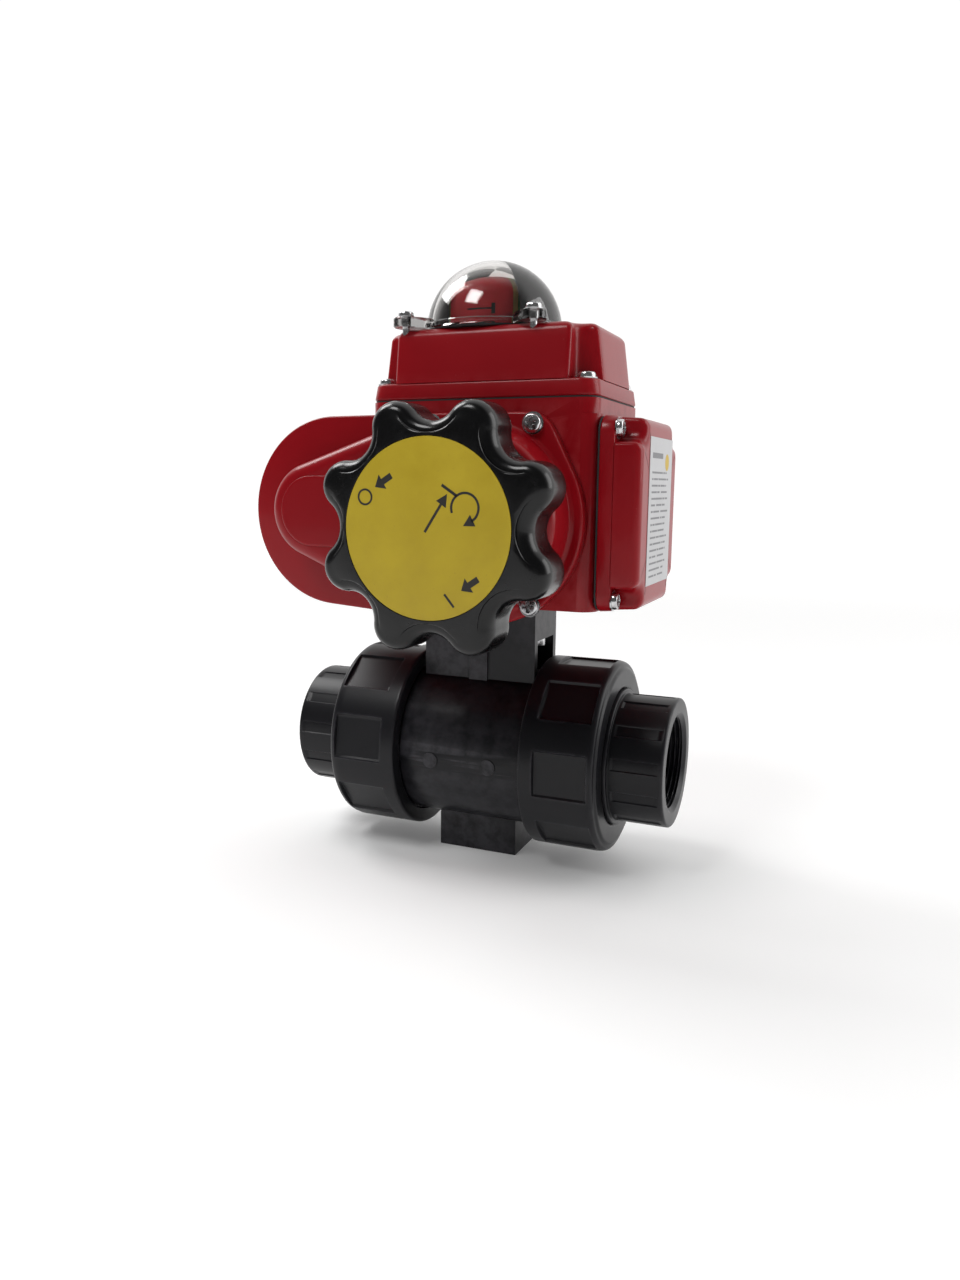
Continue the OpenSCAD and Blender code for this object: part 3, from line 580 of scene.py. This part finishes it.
def handwheel():
    """An eight-lobed wheel: a shallow seat for the disc, a face that falls away to the lobes, a shoulder
    rounded as a quarter ellipse, a straight rim and a hollow back round the hub. Every row is the
    outline moved inwards, a circle, or a blend of both."""
    outline, angles = lobed_outline()
    front = WHEEL_FRONT
    back = WHEEL_FRONT + 26

    def circle(radius):
        return np.stack([HAND_X + radius * np.cos(angles), HAND_Z + radius * np.sin(angles)], axis=1)

    quarter = np.linspace(0, math.pi / 2, 12)
    inner = drawn_in(outline, 5.2)
    rows = [(circle(0), front + 0.35), (circle(DISC_R + 0.1), front + 0.35), (circle(DISC_R + 0.35), front),
            (circle(DISC_R + 1.4), front)]
    rows += [(circle(DISC_R + 1.5) * (1 - k) + inner * k, front + 0.1 + 1.7 * k**2)
             for k in (0.25, 0.5, 0.75, 1.0)]
    rows += [(drawn_in(outline, 5.2 * (1 - math.sin(a))), front + 1.8 + 7.2 * (1 - math.cos(a)))
             for a in quarter[1:]]
    rows += [(outline, y) for y in (front + 14, front + 19, front + 22.5)]
    rows += [(drawn_in(outline, 3.0 * (1 - math.cos(a))), front + 22.5 + 3.5 * math.sin(a))
             for a in quarter[2::2]]
    wall = drawn_in(outline, 6.5)
    rows += [(drawn_in(outline, 5.5), back), (wall, back - 0.8), (wall, back - 12),
             (circle(36) * 0.6 + wall * 0.4, back - 17)]
    hub = [(33, -19), (20, -19), (17, -18), (16, -16), (16, 4.2), (15.2, 5), (6.4, 5), (6.0, 4.6),
           (6.0, -18), (0, -18)]
    rows += [(circle(r), back + y) for r, y in hub]
    return skin(np.stack([standing(loop, y) for loop, y in rows]))


def flat_shapes(outlines, plane, lift, place):
    """Thin printed shapes: each outline (points across and up) raised by lift from a plane,
    as a stack of rings drawn together to the outline's middle."""
    parts = []
    for outline in outlines:
        loop = np.asarray(outline, float)
        middle = loop.mean(axis=0)
        stack = [middle + 0 * loop, loop, loop, middle + 0 * loop]
        levels = [plane, plane, plane + lift, plane + lift]
        parts.append(skin(np.stack([place(ring, level) for ring, level in zip(stack, levels)])))
    return many(parts)


def spun(points, degrees, shift):
    """Points turned about the origin, then shifted."""
    a = math.radians(degrees)
    turn = np.array([[math.cos(a), math.sin(a)], [-math.sin(a), math.cos(a)]])
    return np.asarray(points, float) @ turn + np.asarray(shift, float)


def bar(left, right, half):
    """A bar along the x axis, half wide on either side of it."""
    return [(left, -half), (right, -half), (right, half), (left, half)]


def band(centre, radius, half, start, stop, count):
    """Quads along an arc: their corners lie at radius + half and radius - half, at each pair of
    neighbouring angles between start and stop."""
    bends = np.radians(np.linspace(start, stop, count + 1))
    corners = np.stack([bends[:-1], bends[1:], bends[1:], bends[:-1]], axis=1)
    reach = radius + half * np.array([1, 1, -1, -1])
    return list(np.stack([reach * np.cos(corners), reach * np.sin(corners)], axis=-1) + np.array(centre))


def disc_marks():
    """Pictograms on the disc, as convex shapes: two short arrows, a ring, a bar, and in the middle
    a push sign (an arrow against a bar) beside a turning sign (an arc with a head)."""
    shapes = []
    for centre, angle in (((-23.3, 16.9), 32), ((16.1, -24.3), 34)):
        shapes.append(spun([(0, 0), (4.2, 3.4), (4.2, -3.4)], angle, centre))
        shapes.append(spun(bar(4.2, 9, 1.3), angle, centre))
    shapes += band((-28.1, 12.8), 3.1, 0.42, 0, 360, 28)
    shapes.append(spun(bar(-3.4, 3.4, 0.5), -50, (10.7, -28.7)))
    push_sign = (bar(-9, 4.5, 0.55), [(9.5, 0), (4.5, 2.6), (4.5, -2.6)], bar(10.6, 11.8, 4))
    shapes += [spun(shape, 57, (4.5, 6.5)) for shape in push_sign]
    turn_at = (17.5, 9.0)
    shapes += band(turn_at, 6.0, 0.5, -60, 200, 30)
    tip = spun([(6.0, 0)], -60, turn_at)[0]
    shapes.append(spun([(0, -4.2), (2.6, 0.6), (-2.6, 0.6)], -62, tip))
    return shapes


def on_disc(ring, level):
    """Across and up on the disc's face to the frame's axes."""
    return np.stack([HAND_X + ring[:, 0], level + 0 * ring[:, 0], HAND_Z + ring[:, 1]], axis=-1)


SPRING_LOW, SPRING_HIGH = span("push_spring")


def return_spring():
    """The handwheel's coil: a round wire whose centre follows a helix, closed at both ends."""
    wire, coil, turns = 0.8, 7.6, 4.0
    low, high = float(SPRING_LOW[1]) + wire, float(SPRING_HIGH[1]) - wire
    along = np.linspace(0, 1, 192)[:, None]
    round_wire = round_angles(14)[None, :]
    turn = TAU * turns * along
    radius = coil + wire * np.cos(round_wire)
    rings = np.stack([HAND_X + radius * np.cos(turn), low + (high - low) * along + wire * np.sin(round_wire),
                      HAND_Z + radius * np.sin(turn)], axis=-1)
    ends = [np.repeat(rings[k].mean(axis=0)[None, None, :], 14, axis=1) for k in (0, -1)]
    return skin(np.concatenate([ends[0], rings, ends[1]]))


spring = piece("return_spring", *return_spring(), "shaft_steel", "housing", ["push_spring"])
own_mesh(spring)
piece("handwheel_rim", *handwheel(), "handwheel_black", "handwheel", ["handwheel"], 40)
DISC_SEAT, DISC_FACE = WHEEL_FRONT + 0.35, WHEEL_FRONT + 0.08
disc_profile = rounded([
    (DISC_SEAT, 0, 0), (DISC_SEAT, DISC_R, 0), (DISC_FACE, DISC_R, 0.1), (DISC_FACE, 0, 0)])
piece("handwheel_disc", *skin(turned(disc_profile, round_angles(160), "Y", (HAND_X, HAND_Z))),
      "disc_yellow", "handwheel", ["handwheel_label"])
for number, shape in enumerate(disc_marks()):
    piece(f"disc_mark_{number:02d}", *flat_shapes([shape], WHEEL_FRONT + 0.1, -0.07, on_disc),
          "disc_yellow", "handwheel", material=PRINT_INK)


# ---------------------------------------------------------------- gear cover

COVER_LOW, COVER_HIGH = span("gear_cover")
FLANGE_FRONT = -46.0
BULGE_FRONT = float(COVER_LOW[1])
COVER_BACK = float(COVER_HIGH[1])
COVER_MIDDLE = np.array([-27, 174])


def outline_round(circles, centre=COVER_MIDDLE, count=720):
    """The outline that a band stretched round the circles (x, z, radius) takes: the support
    distance in each direction, turned into points and read again by angle about the centre."""
    a = round_angles(2880)
    x, z, r = np.array(circles, float).T[:, :, None]
    bends = x + r * np.cos(a), z + r * np.sin(a)
    reach = bends[0] * np.cos(a) + bends[1] * np.sin(a)
    best = reach.argmax(axis=0)
    points = np.stack([bends[0][best, np.arange(len(a))], bends[1][best, np.arange(len(a))]], axis=1)
    offset = points - centre
    angle = np.arctan2(offset[:, 1], offset[:, 0])
    order = np.argsort(angle)
    line = offset[order]
    wanted = (round_angles(count) + math.pi) % TAU - math.pi
    turned_x = np.interp(wanted, angle[order], line[:, 0], period=TAU)
    turned_z = np.interp(wanted, angle[order], line[:, 1], period=TAU)
    return np.stack([turned_x, turned_z], axis=1) + centre


GEAR_SCREWS = [(x, FLANGE_FRONT, z) for x, z in ((38, 216), (38, 134), (-12, 216), (-12, 130))]


def relieved(loop, reach=5.2):
    """The loop pushed inwards round each screw: a point at offset o from a screw, with inward normal n,
    moves by -o.n + sqrt((o.n)^2 + reach^2 - o.o), so that it lands on the circle of that reach."""
    inward = drawn_in(loop, 1.0) - loop
    for x, _, z in GEAR_SCREWS:
        offset = loop - np.array([x, z])
        near = reach**2 - (offset**2).sum(axis=1)
        lean = (offset * inward).sum(axis=1)
        move = np.where(near > 0, -lean + np.sqrt(np.maximum(lean**2 + near, 0)), 0)
        loop = loop + inward * move[:, None]
    return loop


def gear_cover():
    """The flange, a fillet, the raised part's wall and its rounded front, as rings that follow
    the two outlines drawn inwards by each row's own distance."""
    flange = outline_round([(-65.5, 175, 46), (HAND_X, 172.5, 49), (35, 207.6, 13.4)])
    raised = outline_round([(-67, 176, 24), (-22, 174.5, 40), (HAND_X, 173, 43)])
    t = np.linspace(0, math.pi / 2, 9)
    middle = COVER_MIDDLE
    base, edge = 2.6, 6.2
    wall = 20 - base - 1 - edge

    def wall_row(inset, depth):
        return standing(relieved(drawn_in(raised, inset)), depth)

    rings = [standing(middle + 0 * flange, COVER_BACK), standing(drawn_in(flange, 0.4), COVER_BACK),
             standing(flange, COVER_BACK - 0.4), standing(flange, FLANGE_FRONT + 1.2)]
    rings += [standing(drawn_in(flange, 1.2 - 1.2 * math.cos(a)), FLANGE_FRONT + 1.2 - 1.2 * math.sin(a))
              for a in t[2::2]]
    rings += [wall_row(-base + base * math.sin(a), FLANGE_FRONT - base * (1 - math.cos(a))) for a in t]
    rings += [wall_row(0.3 + 0.9 * k, FLANGE_FRONT - base - 1 - wall * k) for k in (0.0, 0.5, 1.0)]
    rings += [wall_row(1.2 + edge * (1 - math.cos(a)), BULGE_FRONT + edge * (1 - math.sin(a))) for a in t[1:]]
    last = drawn_in(raised, 2.2 + edge)
    rings += [standing(middle + (last - middle) * k, BULGE_FRONT) for k in (1.0, 0.6, 0.3, 0.0)]
    return skin(np.stack(rings))


def cover_panel():
    """The plain raised oval on the gear cover: a stadium outline with a soft step."""
    middle = np.array([-29, 175.7])
    loop = outline_round([(-66, 175.7, 16), (8, 175.7, 16)], middle, 360)
    t = np.linspace(0, math.pi / 2, 6)
    rise = 0.8
    last = drawn_in(loop, -0.1 + rise * 1.2)
    foot = BULGE_FRONT + 0.05
    sunk = BULGE_FRONT + 0.3
    rings = [standing(middle + 0 * loop, sunk), standing(drawn_in(loop, -0.6), sunk)]
    rings += [standing(drawn_in(loop, -0.6 + rise * 1.2 * (1 - math.cos(a))), foot - rise * math.sin(a))
              for a in t]
    rings += [standing(middle + (last - middle) * k, foot - rise) for k in (1.0, 0.5, 0.0)]
    return skin(np.stack(rings))


piece("gear_cover_shell", *gear_cover(), "red_paint", "housing", ["gear_cover"], 50)
piece("gear_cover_panel", *cover_panel(), "red_paint", "housing", crease=60)


# ---------------------------------------------------------------- covers with corner channels


def corner_channels(low, high, screws, channel, notched, round_r, inset=0.0):
    """A rectangle's outline with the same number of points at each height. At every corner it either
    turns with a plain arc, or runs in along a channel: fillet, wall, arc round the screw, wall, fillet.
    Local points are distances from the corner along both sides."""
    fillet = 2.2
    t7 = np.linspace(0, math.pi / 2, 7)
    t13 = np.linspace(0, math.pi / 2, 13)
    steps = np.array([0.35, 0.7])
    loop = []
    for number, sign in enumerate(np.array([(1, 1), (-1, 1), (-1, -1), (1, -1)])):
        corner = np.where(sign > 0, high, low)
        near = screws[np.argmin(np.linalg.norm(screws - corner, axis=1))]
        beyond = (corner - near) * sign
        centre = np.maximum(beyond, fillet)
        reach = beyond + channel + inset - centre
        if notched:
            side_x, side_y = centre + reach
            foot = np.stack([side_x + fillet * (1 - np.sin(t7)), fillet * (1 - np.cos(t7))], axis=1)
            wall = np.stack([side_x + 0 * steps, fillet + (centre[1] - fillet) * steps], axis=1)
            bend = centre + reach * np.stack([np.cos(t13), np.sin(t13)], axis=1)
            wall_2 = np.stack([fillet + (centre[0] - fillet) * steps[::-1], side_y + 0 * steps], axis=1)
            foot_2 = np.stack([fillet * (1 - np.cos(t7)), side_y + fillet * (1 - np.sin(t7))], axis=1)[::-1]
            local = np.concatenate([foot, wall, bend, wall_2, foot_2])
        else:
            end = centre + reach + fillet
            run = np.linspace(0, 1, 9)
            local = np.concatenate([
                np.stack([end[0] + (round_r - end[0]) * run, 0 * run], axis=1),
                np.stack([round_r * (1 - np.sin(t13)), round_r * (1 - np.cos(t13))], axis=1),
                np.stack([0 * run, round_r + (end[1] - round_r) * run], axis=1)])
        if number % 2 == 0:
            local = local[::-1]
        loop.append(corner - sign * local)
    gap = np.linspace(0, 1, 12)[1:-1, None]
    sides = [here[-1] + (after[0] - here[-1]) * gap for here, after in zip(loop, loop[1:] + loop[:1])]
    return np.concatenate([part for pair in zip(loop, sides) for part in pair])


def channelled_cover(box, screws, channel, ledge, taper, edge, place):
    """A cover as rings from its rim to its crown: plain outline up to the ledge, then the
    channelled outline, drawn in by the taper and rounded over the edge by inset and height."""
    low, high, base, top = box
    middle = (np.array(low) + np.array(high)) / 2
    screws = np.array(screws, float)

    def outline(height, notched, inset):
        draw = (height - base) / (top - base) * taper + inset
        return corner_channels(
            np.array(low) + draw, np.array(high) - draw, screws, channel, notched, 8.0, inset)

    lip = 0.9
    t = np.linspace(0, math.pi / 2, 9)
    first = outline(base, False, 0)
    rings = [place(middle + 0 * first, base), place(outline(base, False, lip), base)]
    for a in t[2::2]:
        rim = outline(base + lip * math.sin(a), False, lip * (1 - math.sin(a)))
        rings.append(place(rim, base + lip * (1 - math.cos(a))))
    rings.append(place(outline(ledge - lip, False, 0), ledge - lip))
    for a in t[2::2]:
        height = ledge - lip * (1 - math.sin(a))
        rings.append(place(outline(height, False, lip * (1 - math.cos(a))), height))
    for k in np.linspace(0, 1, 8):
        height = ledge + 0.01 + (top - edge - ledge) * k
        rings.append(place(outline(height, True, 0), height))
    for a in t[1:]:
        height = top - edge * (1 - math.sin(a))
        rings.append(place(outline(height, True, edge * (1 - math.cos(a))), height))
    last = drawn_in(outline(top, True, edge), 0.8)
    rings += [place(middle + (last - middle) * k, top) for k in (1.0, 0.5, 0.0)]
    return skin(np.stack(rings))


TOP_LOW, TOP_HIGH = span("top_cover")
SIDE_LOW, SIDE_HIGH = span("terminal_cover")
TOP_SCREWS = [(x, y) for x in (TOP_LOW[0] + 6.5, TOP_HIGH[0] - 6.8) for y in (-31, 31)]
SIDE_SCREWS = [(y, z) for y in (-33, 33) for z in (SIDE_LOW[2] + 5.5, SIDE_HIGH[2] - 6)]
LEDGE_Z = 236.0
LEDGE_X = 73.2


def lying(loop, z):
    """A loop of x and y laid flat at a height."""
    return np.stack([loop[:, 0], loop[:, 1], z + 0 * loop[:, 0]], axis=1)


def facing_right(loop, x):
    """A loop of y and z turned to face along the pipe."""
    return np.stack([x + 0 * loop[:, 0], loop[:, 0], loop[:, 1]], axis=1)


top_cover = channelled_cover((TOP_LOW[:2], TOP_HIGH[:2], TOP_LOW[2], TOP_HIGH[2]), TOP_SCREWS, 6.8,
                             LEDGE_Z, 4.6, 4.0, lying)
side_cover = channelled_cover((SIDE_LOW[1:], SIDE_HIGH[1:], SIDE_LOW[0], SIDE_HIGH[0]), SIDE_SCREWS, 6.0,
                              LEDGE_X, 1.4, 4.2, facing_right)
piece("top_cover_shell", *top_cover, "red_paint", "housing", ["top_cover"], 38)
piece("terminal_cover_shell", *side_cover, "red_paint", "housing", ["terminal_cover"], 38)


# ---------------------------------------------------------------- rating label

LABEL_LOW, LABEL_HIGH = span("rating_label")


def label_rows():
    """Generic rows of short bars, one heading bar above them, on the label's face."""
    rng = np.random.default_rng(7)
    y0, y1 = LABEL_LOW[1] + 5, LABEL_HIGH[1] - 5
    z_top = LABEL_HIGH[2] - 16
    bars = [((y0, LABEL_HIGH[2] - 9.5), (y0 + 21, LABEL_HIGH[2] - 7))]
    for row in range(17):
        z = z_top - row * 3.0
        cuts = np.sort(rng.uniform(0.1, 0.95, 3))
        edges = np.concatenate([[0], cuts, [rng.uniform(0.8, 1.0)]])
        for a, b in zip(edges, edges[1:]):
            if b - a > 0.06:
                bars.append(((y0 + (y1 - y0) * a, z - 0.45), (y0 + (y1 - y0) * (b - 0.03), z + 0.45)))
    return [[(a[0], a[1]), (b[0], a[1]), (b[0], b[1]), (a[0], b[1])] for a, b in bars]


piece("label_bars", *flat_shapes(label_rows(), LABEL_HIGH[0] - 0.05, 0.08, facing_right),
      "label_film", "housing", material=LABEL_INK)
sign_y, sign_z = LABEL_HIGH[1] - 11, LABEL_HIGH[2] - 11
sign = [(sign_y + 4 * math.cos(a), sign_z + 4 * math.sin(a)) for a in round_angles(40)]
piece("label_disc", *flat_shapes([sign], LABEL_HIGH[0] - 0.05, 0.08, facing_right), "label_film", "housing",
      material=LABEL_AMBER)


# ---------------------------------------------------------------- dome and indicator

DOME_LOW, DOME_HIGH = span("dome")
DOME_R = 33.5
DOME_Z = float(DOME_HIGH[2]) - DOME_R
EAR_OFFSET = 32.4
EAR_AT = EAR_OFFSET * math.sqrt(2)
EAR_R = 6.0


def dome_shell():
    """A clear hemisphere on a ring with four ears: the ring's outer radius is the larger of its own
    and, near an ear's direction d, the ray's exit EAR cos d + sqrt(r^2 - EAR^2 sin^2 d)."""
    near = [quarter * TAU / 4 + TAU / 8 + np.linspace(-0.2, 0.2, 61) for quarter in range(4)]
    angles = np.unique(np.round(np.concatenate([round_angles(240)] + near), 6))
    local = (angles % (TAU / 4)) - TAU / 8
    inside = EAR_R**2 - (EAR_AT * np.sin(local)) ** 2
    ray = EAR_AT * np.cos(local) + np.sqrt(np.maximum(inside, 0))
    neck = EAR_R / np.maximum(np.abs(np.sin(local)), 1e-6)
    ear = np.where(inside > 0, ray, np.minimum(neck, 60))
    ring = DOME_R + 2.6
    rim = np.maximum(ring, np.minimum(ear, EAR_AT + EAR_R))
    low = float(DOME_LOW[2])
    lift = step_up(rim, ring + 1, ring + 5)
    top = low + 3.0 + 1.5 * lift
    inner = DOME_R - 2.5
    rows = [(inner, low), (rim - 0.5, low), (rim, low + 0.5), (rim, top - 0.6), (rim - 0.6, top),
            (np.maximum(ring - 1.2, rim - 9.5), top)]
    rows += [(DOME_R * math.cos(a), DOME_Z + DOME_R * math.sin(a))
             for a in np.linspace(0.075, math.pi / 2, 40)]
    rows += [(inner * math.cos(a), DOME_Z + inner * math.sin(a)) for a in np.linspace(math.pi / 2, 0, 40)]
    rows.append((inner, low))
    return skin(np.stack([
        np.stack([r * np.cos(angles), r * np.sin(angles), z + 0 * angles], axis=-1) for r, z in rows]))


def mask_shell(side):
    """One dark sector, bonded to the inside of the dome: a lune between two spheres."""
    outer, thick, half = DOME_R - 2.47, 0.5, math.radians(45)
    rise = np.linspace(0.02, math.pi / 2 - 0.02, 40)
    across = np.linspace(-half, half, 40)
    up, round_it = np.meshgrid(rise, across, indexing="ij")

    def layer(radius):
        level = radius * np.cos(up)
        return np.stack([side * level * np.cos(round_it), level * np.sin(round_it),
                         DOME_Z + radius * np.sin(up)], axis=-1)

    sheet, back = layer(outer), layer(outer - thick)
    rings = np.concatenate([sheet, back[:, ::-1]], axis=1)
    ends = [np.repeat(rings[k].mean(axis=0)[None, :], rings.shape[1], axis=0)[None] for k in (0, -1)]
    return skin(np.concatenate([ends[0], rings, ends[1]], axis=0))


def indicator():
    """The drum: a cylinder whose top is half an ellipse, closed underneath."""
    low, high = span("indicator_drum")
    r = float(high[0])
    arc = np.linspace(0, math.pi / 2, 24)
    profile = [(264.2, 0), (264.2, r - 0.8), (265.0, r)]
    profile += [(277 + (float(high[2]) - 277) * math.sin(a), r * math.cos(a)) for a in arc]
    return skin(turned(np.array(profile), round_angles(128), "Z", (0, 0)))


def indicator_marks():
    """A bar with a short upright at its end on each red quarter, wrapped on the drum just above its
    surface: every point lies at a radius r and a height, carried to the angles from start to stop."""
    parts = []
    r = float(span("indicator_drum")[1][0]) + 0.03
    for facing in (-TAU / 4, TAU / 4):
        for start, stop, z0, z1 in ((-0.20, 0.40, 270.2, 271.0), (0.32, 0.40, 268.2, 273.0)):
            a = facing + np.linspace(start, stop, 16)
            layers = [(r - 0.4, z0), (r, z0), (r, z1), (r - 0.4, z1), (r - 0.4, z0)]
            grid = np.stack([np.stack([q * np.cos(a), q * np.sin(a), z + 0 * a], axis=-1) for q, z in layers])
            strips = np.transpose(grid, (1, 0, 2))[:, :4]
            ends = [np.repeat(strips[k].mean(axis=0)[None, None, :], 4, axis=1) for k in (0, -1)]
            parts.append(skin(np.concatenate([ends[0], strips, ends[1]], axis=0)))
    return many(parts)


piece("dome_clear", *dome_shell(), "clear_dome", "housing", ["dome"], 35)
piece("dome_mask_right", *mask_shell(1), "mask_black", "housing", ["dome_mask"], 60)
piece("dome_mask_left", *mask_shell(-1), "mask_black", "housing", crease=60)
piece("indicator_head", *indicator(), "indicator_red", "output", ["indicator_drum"], 40)
piece("indicator_bars", *indicator_marks(), "indicator_red", "output", material=PRINT_INK)


# ---------------------------------------------------------------- screws


def screw(at, axis, r):
    """A pan head: radius and height follow a quarter ellipse, and the crown sinks by the recess
    depth where |u| or |v| is inside the cross's arm. Below it a washer and a plain shank."""
    height, shank = 2.9, 8.0
    angles = round_angles(72)
    bend = np.linspace(0, math.pi / 2, 8)
    crown = [(height * 0.45 + height * 0.55 * math.sin(a), r * (0.78 + 0.22 * math.cos(a))) for a in bend]
    top = [(height + 0.25 * (1 - (q / 0.78) ** 2), r * q) for q in np.linspace(0.76, 0.0, 22)]
    below = [(-shank, 0.0), (-shank, r * 0.46), (0.0, r * 0.46), (0.0, r), (height * 0.45, r)]
    profile = np.array(below + crown[1:] + top)
    along = profile[:, :1] + 0 * angles[None, :]
    radius = profile[:, 1:] + 0 * angles[None, :]
    u, v = radius * np.cos(angles), radius * np.sin(angles)
    arm, reach, depth = 0.14 * r, 0.60 * r, 0.62 * height

    def slot(across, lengthwise):
        inside = 1 - step_up(np.abs(across), arm, arm + 0.25)
        return inside * (1 - step_up(np.abs(lengthwise), reach, reach + 0.3))

    sink = np.where(along > height * 0.9, depth * np.maximum(slot(u, v), slot(v, u)), 0)
    ring = np.array([(-0.02, r * 0.5), (-0.02, r * 1.16), (0.55, r * 1.2), (0.6, r * 0.5), (-0.02, r * 0.5)])
    washer = ring[:, 1:] * np.cos(angles), ring[:, 1:] * np.sin(angles), ring[:, :1] + 0 * angles[None, :]
    x, y, z = at
    frames = {
        "-Y": lambda a, b, c: (x + a, y - c, z + b),
        "+Z": lambda a, b, c: (x + a, y + b, z + c),
        "+X": lambda a, b, c: (x + c, y + a, z + b),
    }
    return many([skin(np.stack(np.broadcast_arrays(*frames[axis](*part)), axis=-1))
                 for part in ((u, v, along - sink), washer)])


piece("gear_cover_screw_set", *many([screw(at, "-Y", 4.2) for at in GEAR_SCREWS]), "screw_steel", "housing",
      ["gear_cover_screws"], 30)
piece("top_cover_screw_set", *many([screw((x, y, LEDGE_Z), "+Z", 4.0) for x, y in TOP_SCREWS]),
      "screw_steel", "housing", ["top_cover_screws"], 30)
piece("terminal_cover_screw_set", *many([screw((LEDGE_X, y, z), "+X", 4.0) for y, z in SIDE_SCREWS]),
      "screw_steel", "housing", ["terminal_cover_screws"], 30)
piece("dome_screw_set", *many([screw((x, y, float(DOME_LOW[2]) + 4.5), "+Z", 3.7)
                               for x in (-EAR_OFFSET, EAR_OFFSET) for y in (-EAR_OFFSET, EAR_OFFSET)]),
      "screw_steel", "housing", ["dome_screws"], 30)


# ---------------------------------------------------------------- carried-over CAD nodes

SOFT_EDGES = {"main_housing": 1.1, "valve_body": 0.9, "conduit_plug": 0.5, "stop_bolts": 0.25,
              "handwheel_shaft": 0.3, "mount_bolts": 0.3}


def soften(node, width):
    """Rounds a CAD node's edges: joins its triangles, merges flat areas, then bevels what is sharp."""
    part = frame["nodes"][node]
    weld = part.modifiers.new("joined", "WELD")
    weld.merge_threshold = 1e-5
    flat = part.modifiers.new("flat", "DECIMATE")
    flat.decimate_type = "DISSOLVE"
    flat.angle_limit = math.radians(0.6)
    edge = part.modifiers.new("edges", "BEVEL")
    edge.width = width * MM
    edge.segments = 3
    edge.limit_method = "ANGLE"
    edge.angle_limit = math.radians(40)
    edge.harden_normals = True


SLOT_OF = {row["node"]: row["material_slot"] for row in frame["record"]["subparts"]}
for node, part in frame["nodes"].items():
    part.data.materials.clear()
    part.data.materials.append(FINISHES[SLOT_OF[node]])
for node, width in SOFT_EDGES.items():
    soften(node, width)


# ---------------------------------------------------------------- floor, light and camera


def floor():
    """A wide pale floor with a painted glow: dim near the object, which paints shade round it, and brighter
    far out.
    """
    x, y = np.meshgrid(np.linspace(-9000, 9000, 13), np.linspace(-3000, 30000, 13), indexing="ij")
    points = np.stack([x, y, 0 * x - 0.05], axis=-1)
    i = np.arange(12)[:, None] * 13
    j = np.arange(12)[None, :]
    quads = np.stack([i + j, i + 13 + j, i + 14 + j, i + j + 1], axis=-1).reshape(-1, 4)
    mesh = bpy.data.meshes.new("floor")
    mesh.from_pydata((points.reshape(-1, 3) * MM).tolist(), [], quads.tolist())
    f = Finish("floor_paper")
    across, along, _ = f.axes(f.place)
    # 0 near the object, where the weaker glow leaves painted shade, rising to 1 far out.
    beyond_painted_shade = (across * across + along * along).root().over(0.45, 1.8)
    glow = f.blend(beyond_painted_shade, (0.10, 0.10, 0.10), (0.56, 0.56, 0.56))
    mesh.materials.append(f.set(colour=(0.9, 0.9, 0.9), roughness=0.9, glow=glow, glow_strength=1.0))
    made = bpy.data.objects.new("floor", mesh)
    bpy.context.scene.collection.objects.link(made)


def lamp(name, at, size, power):
    """A soft rectangular light at a place in millimetres, turned towards the object's middle."""
    data = bpy.data.lights.new(name, "AREA")
    data.shape = "RECTANGLE"
    data.size, data.size_y = size[0] * MM, size[1] * MM
    data.energy = power
    made = bpy.data.objects.new(name, data)
    place = np.array(at, float) * MM
    back = place - np.array((0, 0, 150), float) * MM
    back /= np.linalg.norm(back)
    side = np.cross((0, 0, 1), back)
    side /= np.linalg.norm(side)
    up = np.cross(back, side)
    made.matrix_world = Matrix([[side[k], up[k], back[k], place[k]] for k in range(3)] + [[0, 0, 0, 1]])
    bpy.context.scene.collection.objects.link(made)


def studio():
    """A white surround that is bright behind the object and dim in front, and three soft lights."""
    world = bpy.data.worlds.new("surround")
    bpy.context.scene.world = world
    world.use_nodes = True
    sky = Nodes(world.node_tree)
    _, depth, _ = sky.axes(sky.add("ShaderNodeTexCoord", out="Generated"))
    ground = sky.tree.nodes["Background"]
    sky.fill(ground.inputs["Strength"], 0.10 + 0.94 * depth.over(-0.10, 0.22))
    sky.fill(ground.inputs["Color"], (1.0, 0.995, 0.99))
    lamp("key_left", (-650, 60, 900), (420, 420), 4.5)
    lamp("window_right", (900, 350, 560), (500, 800), 3.5)
    lamp("front_above", (-300, -620, 1050), (360, 360), 5.0)


def camera():
    """The viewing camera: 23 degrees round to the right, tilted down 9 degrees, 0.5 degrees of roll."""
    yaw, tilt, roll = math.radians(23.14), math.radians(-9.30), math.radians(0.52)
    ahead = np.array([-math.sin(yaw) * math.cos(tilt), math.cos(yaw) * math.cos(tilt), math.sin(tilt)])
    side = np.array([math.cos(yaw), math.sin(yaw), 0.0])
    up = np.cross(side, ahead)
    right = side * math.cos(roll) + up * math.sin(roll)
    above = -side * math.sin(roll) + up * math.cos(roll)
    place = np.array([187.19, -452.94, 188.97]) * MM
    data = bpy.data.cameras.new("camera")
    data.sensor_width = 36.0
    data.lens = 26.76
    data.clip_start = 0.01
    data.clip_end = 50
    made = bpy.data.objects.new("camera", data)
    made.matrix_world = Matrix([[right[k], above[k], -ahead[k], place[k]] for k in range(3)] + [[0, 0, 0, 1]])
    bpy.context.scene.collection.objects.link(made)
    bpy.context.scene.camera = made


floor()
studio()
camera()
bpy.context.scene.view_settings.view_transform = "Standard"
